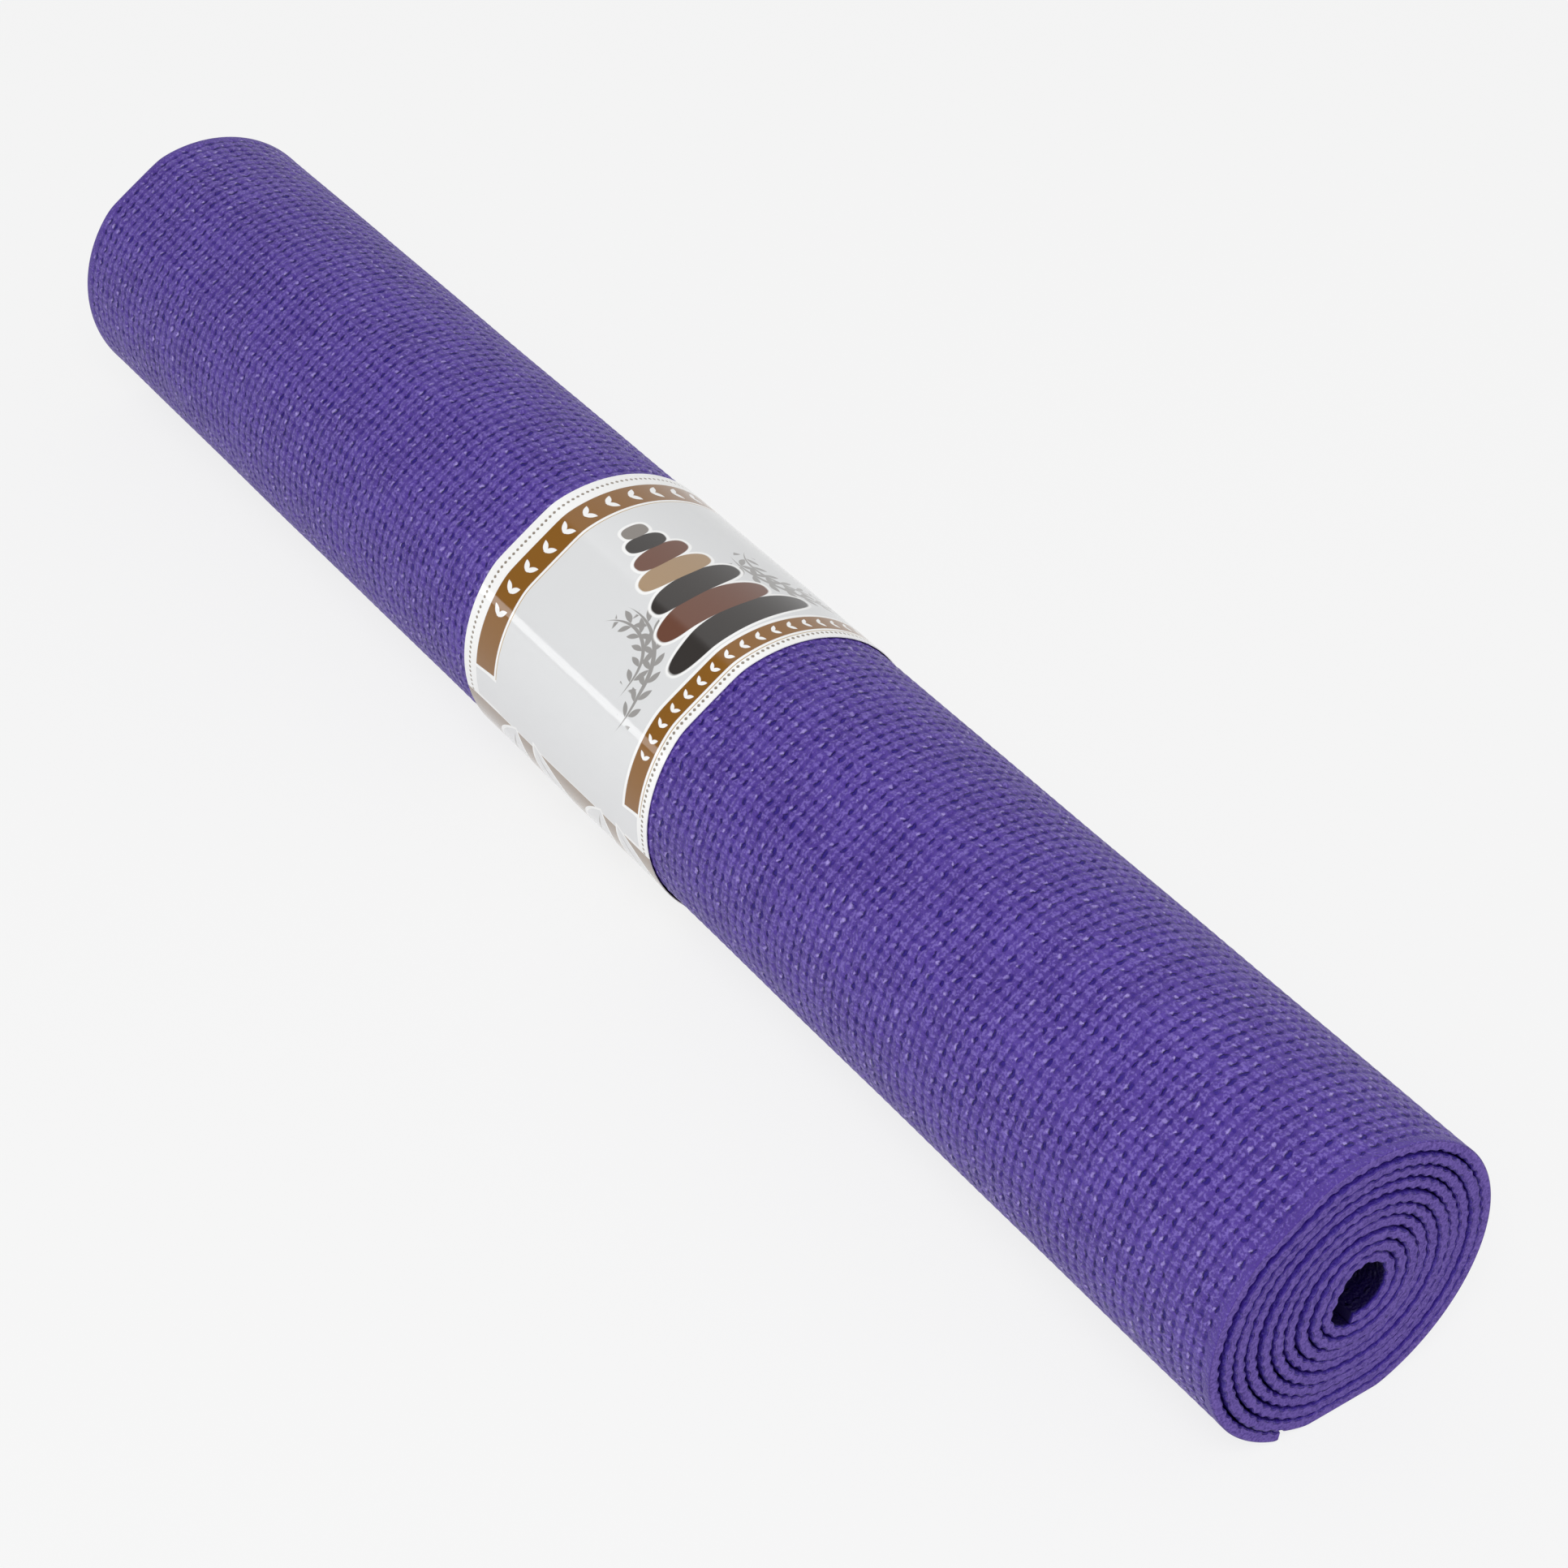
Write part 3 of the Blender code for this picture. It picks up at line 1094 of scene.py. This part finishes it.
    def unrolled_map(self, mesh: SheetMesh) -> Array:
        """Lay the faces out side by side on the unrolled sheet.

        Args:
            mesh: The flat sheet's points and faces.

        Returns:
            A map place for each corner of each face.
        """
        sizes = np.array([len(face) for face in mesh.faces])
        corner = np.concatenate([np.array(face) for face in mesh.faces])
        part = np.repeat(np.array(mesh.part), sizes)
        length, shown = self.section.sheet_length, self.shown_length()
        across = mesh.across[0][corner] / (2.0 * self.half_width) + 0.5
        run = np.concatenate(mesh.along)[corner]
        side = np.concatenate(mesh.side)[corner]
        share = np.select(
            [part == MapPart.SHOWN, part == MapPart.COVERED, part == MapPart.INNER,
             part > MapPart.INNER],
            [run / shown, (run - shown) / (length - shown), run / length, side])
        start, height = np.array(self.map_bands).T[:, part]
        long_edge = (part == MapPart.FAR_EDGE) | (part == MapPart.NEAR_EDGE)
        u = self.map_start + self.map_reach * np.where(long_edge, run / length, across)
        return np.column_stack([u, start + height * share])

    def build(self) -> bpy.types.Object:
        """Returns:
            The finished piece.
        """
        mesh = self.sheet_mesh()
        places, dark = self.place_points(mesh)
        data = bpy.data.meshes.new(self.name)
        data.from_pydata(places.tolist(), [], mesh.faces)
        data.polygons.foreach_set("material_index", mesh.cut)
        # The gap attribute carries the painted shade of the gaps and the open centre.
        layer = data.attributes.new("gap", "FLOAT", "POINT")
        layer.data.foreach_set("value", dark.astype(np.float32))
        flat = np.column_stack([
            mesh.across[0] + self.half_width, np.concatenate(mesh.along),
            np.concatenate(mesh.side) * MM]) / MM
        layer = data.attributes.new("sheet_mm", "FLOAT_VECTOR", "POINT")
        layer.data.foreach_set("vector", flat.astype(np.float32).ravel())
        layer = data.uv_layers.new(name=BAKE_MAP)
        layer.data.foreach_set("uv", self.unrolled_map(mesh).ravel())
        data.polygons.foreach_set("use_smooth", np.array(mesh.cut) == 0)
        data.materials.append(self.skin.material())
        data.materials.append(self.cut_edge.material())
        piece = bpy.data.objects.new(self.name, data)
        bpy.context.scene.collection.objects.link(piece)
        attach(piece, "mat_roll")
        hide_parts("outer_foam_coat", "polyester_scrim", "inner_foam_coat")
        LOG.info("%s: %d faces", piece.name, len(data.polygons))
        return piece


@dataclass(frozen=True)
class SleevePath:
    """Line that the paper follows round the roll, lap included.

    Distances along it count up the side that faces the camera: 0 is where
    the roll faces -Y, and they grow towards the top.
    """

    section: RollSection
    clearance: float = 0.0003
    paper: float = 0.00025
    lap_length: float = 0.016
    lap_middle_deg: float = 318.0
    lap_lift: float = 0.0010
    lap_lift_fade: Pair = (-0.006, 0.002)
    lap_edge_lift: float = 0.00036
    lap_edge_run: float = 0.003
    step: float = 0.0005
    outline_points: int = 720
    evened_steps: int = 9

    def traced(self) -> tuple[Array, Array, Array]:
        """Trace the middle of the paper from its inner end to its outer end.

        Returns:
            Points about the roll's axis, outward normals, and the distance of
            each point from where the roll faces -Y, growing towards the top.
        """
        ring = self.section.outline(self.outline_points)
        closed = np.vstack([ring, ring[:1]])
        sides = np.linalg.norm(np.diff(closed, axis=0), axis=1)
        length = np.concatenate([[0.0], np.cumsum(sides)])
        total = length[-1]
        angles = np.unwrap(np.arctan2(closed[:, 1], closed[:, 0]))
        middle = float(np.interp(math.radians(self.lap_middle_deg), angles, length))
        facing = float(np.interp(math.pi, angles, length))
        start = middle - self.lap_length / 2.0
        travel = np.arange(0.0, total + self.lap_length, self.step)
        at = (start + travel) % total
        point = np.column_stack([np.interp(at, length, closed[:, k]) for k in range(2)])
        slope = np.gradient(point, axis=0)
        kernel = np.ones(self.evened_steps) / self.evened_steps
        slope = np.column_stack([
            np.convolve(np.pad(slope[:, k], self.evened_steps // 2, mode="edge"), kernel,
                        mode="valid")
            for k in range(2)
        ])
        slope /= np.linalg.norm(slope, axis=1)[:, None]
        normal = np.column_stack([slope[:, 1], -slope[:, 0]])
        over = travel - total
        lift = self.lap_lift * smooth_step(*self.lap_lift_fade, over)
        lift = lift - (self.lap_lift - self.lap_edge_lift) * smooth_step(
            self.lap_length - self.lap_edge_run, self.lap_length, over)
        out = self.clearance + self.paper / 2.0 + lift
        point = point + normal * out[:, None]
        upward = (facing - start) % total - travel
        return point, normal, upward


class PrintInk(Enum):
    """Inks of the sleeve's print."""

    PAPER = "#F4F4F3"
    PANEL = "#DCDDDE"
    BROWN = "#86591C"
    EARTH = "#8D7863"
    TAN = "#B99B6B"
    DOTS = "#8F8578"
    CHARCOAL = "#35312F"
    UMBER = "#6B4536"
    STONE = "#857F79"
    SAND = "#A58A6B"
    TWIG = "#9A9896"


@dataclass
class SleevePrint:
    """Print of the sleeve, drawn on the sheet's own millimetres.

    X runs from the sleeve's far edge to its near edge, and Y runs round the
    roll, from where it faces -Y towards the top. A shape is given by its
    middle and by half its size along its own X and Y.
    """

    tree: Tree
    spot: Source
    colour: Any = linear(PrintInk.PAPER.value)
    soft_mm: float = 0.09
    pebble_power: float = 2.6
    sprig_pitch: float = 5.4
    sprig_leaf: Pair = (2.5, 0.95)
    sprig_side: Pair = (2.0, 0.5)
    sprig_lean_deg: float = 52.0
    sprig_end: Pair = (0.72, 0.02)

    def paint(self, mask: Source, ink: PrintInk) -> None:
        """Lay one ink over what is there."""
        self.colour = inked(self.tree, self.colour, (mask, ink.value))

    def inside(self, value: Source, limit: float, blur: float) -> Node:
        """Mask that is 1 where a value is under a limit, with a soft edge."""
        return add(self.tree, "MapRange", (value, limit + blur, limit - blur))

    def framed(self, centre: Pair, size: Pair, turn_deg: float = 0.0,
               source: Source | None = None) -> Node:
        """Coordinates of a shape's own frame.

        Args:
            centre: Middle of the shape.
            size: Half its length and half its width.
            turn_deg: How far it is turned.
            source: Coordinates to start from, or the sheet's own.

        Returns:
            Coordinates that are 1 at the shape's ends.
        """
        return add(self.tree, "Mapping", {
            "Vector": source or self.spot, "Location": (*centre, 0.0),
            "Rotation": (0.0, 0.0, math.radians(turn_deg)), "Scale": (*size, 1.0),
        }, vector_type="TEXTURE")

    def box(self, centre: Pair, size: Pair, grow: float = 0.0, slant: float = 0.0) -> Node:
        """Mask of a rectangle.

        Args:
            centre: Its middle.
            size: Half its size in X and in Y.
            grow: How much further it reaches on each side.
            slant: How far Y moves for each millimetre of X.

        Returns:
            The mask.
        """
        tree = self.tree
        place = add(tree, "SeparateXYZ", (self.framed(centre, (1.0, 1.0)),)).outputs
        leaning = add(tree, "Math", (place[0], slant), operation="MULTIPLY")
        level = add(tree, "Math", (place[1], leaning), operation="SUBTRACT")
        sides = []
        for value, half in zip((place[0], level), size):
            away = add(tree, "Math", (value,), operation="ABSOLUTE")
            sides.append(self.inside(away, half + grow, self.soft_mm))
        return add(tree, "Math", sides, operation="MINIMUM")

    def pebble(self, centre: Pair, size: Pair, turn_deg: float, grow: float = 0.0) -> Node:
        """Mask of a stone with a rounded outline, flatter than an ellipse.

        Args:
            centre: Its middle.
            size: Half its length and half its width.
            turn_deg: How far it is turned.
            grow: How much further it reaches on each side.

        Returns:
            The mask.
        """
        tree = self.tree
        size = (size[0] + grow, size[1] + grow)
        place = add(tree, "SeparateXYZ", (self.framed(centre, size, turn_deg),)).outputs
        powers = []
        for value in place[:2]:
            away = add(tree, "Math", (value,), operation="ABSOLUTE")
            powers.append(add(tree, "Math", (away, self.pebble_power), operation="POWER"))
        total = add(tree, "Math", powers)
        return self.inside(total, 1.0, self.soft_mm * self.pebble_power / min(size))

    def leaf(self, centre: Pair, size: Pair, turn_deg: float, source: Source | None = None,
             grow: float = 0.0) -> Node:
        """Mask of a pointed leaf that lies along its own X.

        Args:
            centre: Its middle.
            size: Half its length and half its width.
            turn_deg: How far it is turned.
            source: Coordinates to start from, or the sheet's own.
            grow: How much further it reaches on each side.

        Returns:
            The mask.
        """
        tree = self.tree
        size = (size[0] + grow, size[1] + grow)
        framed = self.framed(centre, size, turn_deg, source)
        place = add(tree, "SeparateXYZ", (framed,)).outputs
        square = add(tree, "Math", (place[0], 2.0), operation="POWER")
        away = add(tree, "Math", (place[1],), operation="ABSOLUTE")
        total = add(tree, "Math", (square, away))
        return self.inside(total, 1.0, self.soft_mm / min(size))

    def sprig(self, centre: Pair, radius: float, width: float, middle_deg: float,
              half_deg: float) -> Node:
        """Mask of a curved stem that thins towards both ends, with small leaves.

        Args:
            centre: Middle of the circle that the stem follows.
            radius: Radius of that circle.
            width: Width of the stem at its middle.
            middle_deg: Direction of the stem's middle from the circle's.
            half_deg: Half the angle that the stem covers.

        Returns:
            The mask.
        """
        tree = self.tree
        framed = self.framed(centre, (1.0, 1.0), middle_deg)
        place = add(tree, "SeparateXYZ", (framed,)).outputs
        reach = add(tree, "VectorMath", (framed,), operation="LENGTH")
        off = add(tree, "Math", (reach, radius), operation="SUBTRACT")
        angle = add(tree, "Math", (place[1], place[0]), operation="ARCTAN2")
        run = add(tree, "Math", (angle, radius), operation="MULTIPLY")
        share = add(tree, "Math", (angle, math.radians(half_deg)), operation="DIVIDE")
        square = add(tree, "Math", (share, 2.0), operation="POWER")
        thin = add(tree, "Math", (square, -width / 2.0, width / 2.0),
                   operation="MULTIPLY_ADD")
        away = add(tree, "Math", (off,), operation="ABSOLUTE")
        over = add(tree, "Math", (away, thin), operation="SUBTRACT")
        stem = self.inside(over, 0.0, self.soft_mm)
        again = self.repeated(self.sprig_pitch, add(tree, "CombineXYZ", (off, run)))
        side, lean = self.sprig_side, self.sprig_lean_deg
        pair = (
            self.leaf(side, self.sprig_leaf, lean, again),
            self.leaf((-side[0], -side[1]), self.sprig_leaf, 180.0 - lean, again),
        )
        leaves = add(tree, "Math", pair, operation="MAXIMUM")
        leaves = self.both(leaves, self.inside(square, *self.sprig_end))
        return add(tree, "Math", (stem, leaves), operation="MAXIMUM")

    def repeated(self, pitch: float, source: Source | None = None) -> Node:
        """Coordinates whose Y starts again every pitch millimetres.

        Args:
            pitch: Distance between the middles of neighbours.
            source: Coordinates to start from, or the sheet's own.

        Returns:
            Coordinates whose Y goes from minus half the pitch to half of it.
        """
        tree = self.tree
        place = add(tree, "SeparateXYZ", (source or self.spot,)).outputs
        moved = add(tree, "Math", (place[1], pitch / 2.0))
        wrapped = add(tree, "Math", (moved, pitch), operation="FLOORED_MODULO")
        centred = add(tree, "Math", (wrapped, pitch / 2.0), operation="SUBTRACT")
        return add(tree, "CombineXYZ", (place[0], centred))

    def both(self, one: Source, two: Source) -> Node:
        """Mask where two masks overlap."""
        return add(self.tree, "Math", (one, two), operation="MULTIPLY")


@dataclass(frozen=True)
class GlossPaper:
    """White label paper, offset printed, under a thin gloss film.

    The film mirrors the lamps sharply over the matt print below it. The places
    and sizes of the print are in millimetres, as SleevePrint takes them. A
    column of leaves has a place and a turn, and a band has a middle, half its
    width and the size of its leaves.
    """

    name: str = "film_laminated_label_paper"
    map_size_mm: float = 400.0
    map_start_mm: float = 130.0
    roughness: float = 0.42
    print_gloss: float = 0.05
    film_roughness: float = 0.06
    fibre_mm: float = 9.0
    fibre_depth_mm: float = 0.10
    leaf_columns: tuple[Pair, ...] = ((20.0, 62.0), (44.0, 108.0), (68.0, 64.0), (91.0, 112.0))
    leaf_rows: tuple[float, ...] = (-24.0, -54.0, -84.0)
    leaf_size: Pair = (17.0, 6.4)
    leaf_border: float = 1.2
    leaf_vein: Pair = (14.0, 0.5)
    bands: tuple[Triple, ...] = ((12.2, 5.1, 3.1), (93.4, 3.5, 2.1))
    band_middle: float = 74.0
    band_half: float = 70.0
    band_border: float = 1.1
    band_slant: float = 0.12
    band_line: float = 0.16
    chain_pitch_share: float = 2.6
    chain_side_share: float = 0.42
    chain_leaf_shares: Pair = (0.78, 0.3)
    chain_turn_deg: float = 38.0
    chain_run: Pair = (78.0, 58.0)
    dot_places: Pair = (3.3, 99.2)
    dot_pitch: float = 1.75
    dot_size: Pair = (0.62, 0.5)
    dot_field: tuple[float, Pair] = (72.0, (1.2, 82.0))
    pile_y: float = 70.0
    stone_border: float = 1.0

    def material(self) -> bpy.types.Material:
        """Build the material.

        Returns:
            The finished material.
        """
        material, tree, shader = new_material(self.name)
        spot = add(tree, "Mapping", {
            "Vector": add(tree, "UVMap", uv_map=BAKE_MAP),
            "Location": (0.0, -self.map_start_mm, 0.0),
            "Scale": (self.map_size_mm, self.map_size_mm, 1.0),
        })
        sheet = SleevePrint(tree, spot)
        self.draw_panels(sheet)
        self.draw_bands(sheet)
        self.draw_stones(sheet)
        fibre = add(tree, "TexNoise", {
            "Vector": add(tree, "TexCoord").outputs["Object"],
            "Scale": 1.0 / (self.fibre_mm * MM), "Detail": 2.0,
        })
        bump = add(tree, "Bump", {
            "Height": fibre, "Strength": 0.25, "Distance": self.fibre_depth_mm * MM,
        })
        feed(tree, shader, {
            "Base Color": sheet.colour, "Coat Normal": bump, "Roughness": self.roughness,
            "Specular IOR Level": self.print_gloss, "Coat Weight": 1.0,
            "Coat Roughness": self.film_roughness,
        })
        return material

    def draw_panels(self, sheet: SleevePrint) -> None:
        """Draw the pale panel, the earth panel below it, and its leaves.

        Args:
            sheet: Print to draw on.
        """
        panels = (
            ((53.75, 75.0), (35.15, 84.0), PrintInk.PANEL),
            ((51.8, -2.6), (44.8, 5.6), PrintInk.PANEL),
            ((50.8, -62.0), (50.8, 52.6), PrintInk.EARTH),
        )
        for centre, size, ink in panels:
            sheet.paint(sheet.box(centre, size), ink)
        for place, turn in self.leaf_columns:
            for row in self.leaf_rows:
                for size, grow, ink in (
                        (self.leaf_size, self.leaf_border, PrintInk.PAPER),
                        (self.leaf_size, 0.0, PrintInk.PANEL),
                        (self.leaf_vein, 0.0, PrintInk.STONE)):
                    sheet.paint(sheet.leaf((place, row), size, turn, grow=grow), ink)

    def draw_bands(self, sheet: SleevePrint) -> None:
        """Draw the two brown bands, their leaf chains, and the dotted lines.

        Args:
            sheet: Print to draw on.
        """
        run_middle, run_half = self.chain_run
        for middle, half, leaf in self.bands:
            line = middle + half + self.band_border
            for place, wide, grow, ink in (
                    (middle, half, self.band_border, PrintInk.PAPER),
                    (middle, half, 0.0, PrintInk.BROWN),
                    (line, self.band_line, 0.0, PrintInk.TAN)):
                sheet.paint(sheet.box((place, self.band_middle), (wide, self.band_half), grow,
                                      self.band_slant), ink)
            again = sheet.repeated(leaf * self.chain_pitch_share)
            size = (leaf * self.chain_leaf_shares[0], leaf * self.chain_leaf_shares[1])
            for turn in (self.chain_turn_deg, -self.chain_turn_deg):
                side = math.copysign(leaf * self.chain_side_share, turn)
                chain = sheet.leaf((middle + side, 0.0), size, turn, again)
                run = sheet.box((middle, run_middle), (half, run_half))
                sheet.paint(sheet.both(chain, run), PrintInk.PAPER)
        dots = sheet.repeated(self.dot_pitch)
        field_middle, field_size = self.dot_field
        for place in self.dot_places:
            spot = sheet.leaf((place, 0.0), self.dot_size, 0.0, dots)
            where = sheet.box((place, field_middle), field_size)
            sheet.paint(sheet.both(spot, where), PrintInk.DOTS)

    def draw_stones(self, sheet: SleevePrint) -> None:
        """Draw a pile of river stones between two bent grasses.

        Args:
            sheet: Print to draw on.
        """
        stems = ((58.0, 40.0, 22.0, 1.5, -40.0, 62.0), (60.0, 36.0, 14.0, 1.2, -60.0, 74.0))
        for side in (-1.0, 1.0):
            for place, off, radius, width, middle, half in stems:
                sheet.paint(sheet.sprig((place, self.pile_y + side * off), radius, width,
                                        side * middle, half), PrintInk.TWIG)
        stones = (
            ((82.0, 1.0), (5.2, 26.0), 2.0, PrintInk.CHARCOAL),
            ((71.5, -1.0), (5.6, 19.0), -3.0, PrintInk.UMBER),
            ((61.0, 0.5), (5.2, 15.5), 2.0, PrintInk.CHARCOAL),
            ((51.5, -0.5), (4.6, 12.0), -2.0, PrintInk.SAND),
            ((43.0, 0.4), (4.2, 9.2), 4.0, PrintInk.UMBER),
            ((35.4, 0.0), (3.6, 6.4), -5.0, PrintInk.CHARCOAL),
            ((29.0, 0.3), (3.0, 4.2), 0.0, PrintInk.STONE),
        )
        for grow in (self.stone_border, 0.0):
            for (place, off), size, turn, ink in stones:
                stone = sheet.pebble((place, self.pile_y + off), size, turn, grow)
                sheet.paint(stone, PrintInk.PAPER if grow else ink)


@dataclass
class PaperSleeve:
    """The printed paper sleeve, with its lap."""

    section: RollSection = field(default_factory=RollSection)
    finish: GlossPaper = field(default_factory=GlossPaper)
    name: str = "printed_sleeve"
    width: float = 0.1016
    middle_x: float = 0.0029
    columns: int = 26
    wave: float = 0.00006
    wave_length: float = 0.009
    wave_rates: Pair = (0.021, 0.034)
    smooth_deg: float = 40.0

    def build(self) -> bpy.types.Object:
        """Returns:
            The finished piece.
        """
        path = SleevePath(self.section)
        point, normal, upward = path.traced()
        deselect_all()
        bpy.ops.mesh.primitive_grid_add(
            x_subdivisions=self.columns, y_subdivisions=len(point) - 1, size=1.0,
            location=(0.0, 0.0, 0.0))
        piece = bpy.context.active_object
        piece.name = self.name
        data = piece.data
        data.name = self.name
        flat = np.zeros(len(data.vertices) * 3)
        data.vertices.foreach_get("co", flat)
        flat = flat.reshape(-1, 3)
        row = np.rint((flat[:, 1] + 0.5) * (len(point) - 1)).astype(int)
        across = flat[:, 0] * self.width
        lean, rise = self.wave_rates
        wavy = self.wave * np.sin(across / self.wave_length + row * lean) * np.sin(row * rise)
        section = point[row] + normal[row] * wavy[:, None]
        wrapped = np.column_stack([across + self.middle_x, section + (AXIS_Y, AXIS_Z)])
        data.vertices.foreach_set("co", wrapped.ravel())
        for layer in list(data.uv_layers):
            data.uv_layers.remove(layer)
        corners_of = np.zeros(len(data.loops), dtype=np.int32)
        data.loops.foreach_get("vertex_index", corners_of)
        size = self.finish.map_size_mm * MM
        u = (across + self.width / 2.0)[corners_of] / size
        v = (upward[row] + self.finish.map_start_mm * MM)[corners_of] / size
        layer = data.uv_layers.new(name=BAKE_MAP)
        layer.data.foreach_set("uv", np.column_stack([u, v]).ravel())
        data.update()
        wall = piece.modifiers.new("paper", "SOLIDIFY")
        wall.thickness = path.paper
        wall.offset = 0.0
        bpy.ops.object.modifier_apply(modifier=wall.name)
        bpy.ops.object.shade_smooth_by_angle(angle=math.radians(self.smooth_deg))
        data.materials.append(self.finish.material())
        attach(piece, "sleeve")
        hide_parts("paper_sleeve")
        LOG.info("%s: %d faces", piece.name, len(piece.data.polygons))
        return piece


@dataclass(frozen=True)
class DryGlue:
    """Hot-melt glue, pressed flat and set: amber, waxy and a little cloudy."""

    name: str = "set_hot_melt_glue"
    amber: str = "#D9C49A"
    cloud: str = "#C4A877"
    cloud_mm: float = 4.0
    roughness: float = 0.35

    def material(self) -> bpy.types.Material:
        """Build the material.

        Returns:
            The finished material.
        """
        material, tree, shader = new_material(self.name)
        cloud = add(tree, "TexNoise", {
            "Vector": add(tree, "TexCoord").outputs["Object"],
            "Scale": 1.0 / (self.cloud_mm * MM), "Detail": 3.0,
        })
        colour = inked(tree, linear(self.amber), (cloud, self.cloud))
        feed(tree, shader, {"Base Color": colour, "Roughness": self.roughness})
        return material

    def dress(self, node: str) -> None:
        """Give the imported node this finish.

        Args:
            node: Name of the node.
        """
        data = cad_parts[node].data
        data.materials.clear()
        data.materials.append(self.material())
        LOG.info("%s: dressed", node)


@dataclass
class Studio:
    """Plain pale floor, soft light from above, and the camera."""

    ground: str = "#F6F6F6"
    light: str = "#FFFFFF"
    floor_size: float = 12.0
    floor_roughness: float = 0.9
    azimuth_deg: float = 55.047
    elevation_deg: float = 39.192
    focal_pixels: float = 4487.2
    offset: Triple = (-0.03108, 0.03040, 1.10765)
    near_clip: float = 0.05
    sky: float = 0.55
    wall: float = 0.12
    wall_fades: tuple[Pair, Pair] = ((-0.14, -0.32), (0.02, 0.08))
    evenness: float = 0.88

    def floor(self) -> None:
        """Lay the floor, whose pale ground shows evenly but keeps a soft shadow."""
        deselect_all()
        bpy.ops.mesh.primitive_plane_add(size=self.floor_size, location=(0.0, 0.0, 0.0))
        floor = bpy.context.active_object
        floor.name = "studio_floor"
        material, tree, shader = new_material("painted_pale_floor")
        ground = linear(self.ground)
        feed(tree, shader, {
            "Base Color": ground, "Roughness": self.floor_roughness,
            "Specular IOR Level": 0.0,
        })
        even = add(tree, "Emission", {"Color": ground, "Strength": 1.0})
        share = add(tree, "Math", (self.looked_at(tree), self.evenness), operation="MULTIPLY")
        mixed = add(tree, "MixShader", (share, shader, even))
        feed(tree, tree.nodes["Material Output"], {"Surface": mixed})
        floor.data.materials.append(material)

    @staticmethod
    def looked_at(tree: Tree) -> Node:
        """Tell rays from the camera, and those that gloss or glass sends on, from the rest.

        Args:
            tree: Node tree of the material or the world.

        Returns:
            1 for such rays and 0 for the rest.
        """
        rays = add(tree, "LightPath").outputs
        seen = add(tree, "Math", (rays["Is Camera Ray"], rays["Is Glossy Ray"]),
                   operation="MAXIMUM")
        return add(tree, "Math", (seen, rays["Is Transmission Ray"]), operation="MAXIMUM")

    def world(self) -> None:
        """Light everything evenly, and show the floor's colour behind it.

        Gloss also sees a dark wall on the side that the label faces.
        """
        world = bpy.data.worlds.new("studio")
        bpy.context.scene.world = world
        world.use_nodes = True
        tree = world.node_tree
        tree.nodes.clear()
        light = add(tree, "Background", {"Color": linear(self.light), "Strength": self.sky})
        way = add(tree, "SeparateXYZ", (add(tree, "TexCoord").outputs["Generated"],)).outputs
        behind, above = [
            add(tree, "MapRange", (value, *fade), interpolation_type="SMOOTHSTEP")
            for value, fade in zip((way[1], way[2]), self.wall_fades)]
        wall = add(tree, "Math", (behind, above), operation="MULTIPLY")
        glossy = add(tree, "LightPath").outputs["Is Glossy Ray"]
        dark = add(tree, "Math", (wall, glossy), operation="MULTIPLY")
        level = add(tree, "MapRange", (dark, 0.0, 1.0, 1.0, self.wall))
        back = add(tree, "Background", {"Color": linear(self.ground), "Strength": level})
        mixed = add(tree, "MixShader", (self.looked_at(tree), light, back))
        add(tree, "OutputWorld", {"Surface": mixed})

    def lamp(self, name: str, place: Triple, size: Pair,
             watts: float, mirrored: bool) -> None:
        """Add a soft rectangular lamp that looks at the roll.

        Args:
            name: Name of the lamp.
            place: Where it hangs.
            size: Its width and height.
            watts: Its power.
            mirrored: Whether gloss mirrors its frame.
        """
        data = bpy.data.lights.new(name, "AREA")
        data.shape = "RECTANGLE"
        data.size, data.size_y = size
        data.energy = watts
        lamp = bpy.data.objects.new(name, data)
        lamp.location = place
        lamp.visible_glossy = mirrored
        aim = Vector((0.0, 0.0, AXIS_Z)) - Vector(place)
        lamp.rotation_euler = aim.to_track_quat("-Z", "Y").to_euler()
        bpy.context.scene.collection.objects.link(lamp)

    def camera(self) -> None:
        """Stand the camera where the photograph was taken from."""
        azimuth = math.radians(self.azimuth_deg)
        elevation = math.radians(self.elevation_deg)
        ahead = Vector((
            -math.sin(azimuth) * math.cos(elevation),
            math.cos(azimuth) * math.cos(elevation),
            -math.sin(elevation),
        ))
        right = ahead.cross(Vector((0.0, 0.0, 1.0))).normalized()
        up = right.cross(ahead)
        place = -self.offset[0] * right - self.offset[1] * up - self.offset[2] * ahead
        place += Vector((0.0, AXIS_Y, AXIS_Z))
        data = bpy.data.cameras.new("camera")
        data.sensor_width = SENSOR_WIDTH_MM
        data.lens = self.focal_pixels / IMAGE_PIXELS * SENSOR_WIDTH_MM
        data.clip_start = self.near_clip
        camera = bpy.data.objects.new("camera", data)
        camera.location = place
        camera.rotation_euler = ahead.to_track_quat("-Z", "Y").to_euler()
        bpy.context.scene.collection.objects.link(camera)
        bpy.context.scene.camera = camera

    def build(self) -> None:
        """Set the whole studio up."""
        bpy.context.scene.view_settings.view_transform = "Standard"
        self.floor()
        self.world()
        self.lamp("high_softbox", (1.3, -0.9, 1.9), (1.2, 1.2), 34.0, False)
        self.lamp("strip_lamp", (-2.0, -2.22, 0.38), (2.6, 0.24), 6.5, True)
        self.camera()


def main() -> None:
    """Build the mat, the sleeve and the studio, and note the sizes."""
    logging.basicConfig(level=logging.INFO, format="%(message)s")
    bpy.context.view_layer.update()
    section = RollSection()
    RolledMat(section).build()
    PaperSleeve(section).build()
    DryGlue().dress("sleeve_glue_strip")
    Studio().build()
    LOG.info("sizes written")


if __name__ == "__main__":
    main()
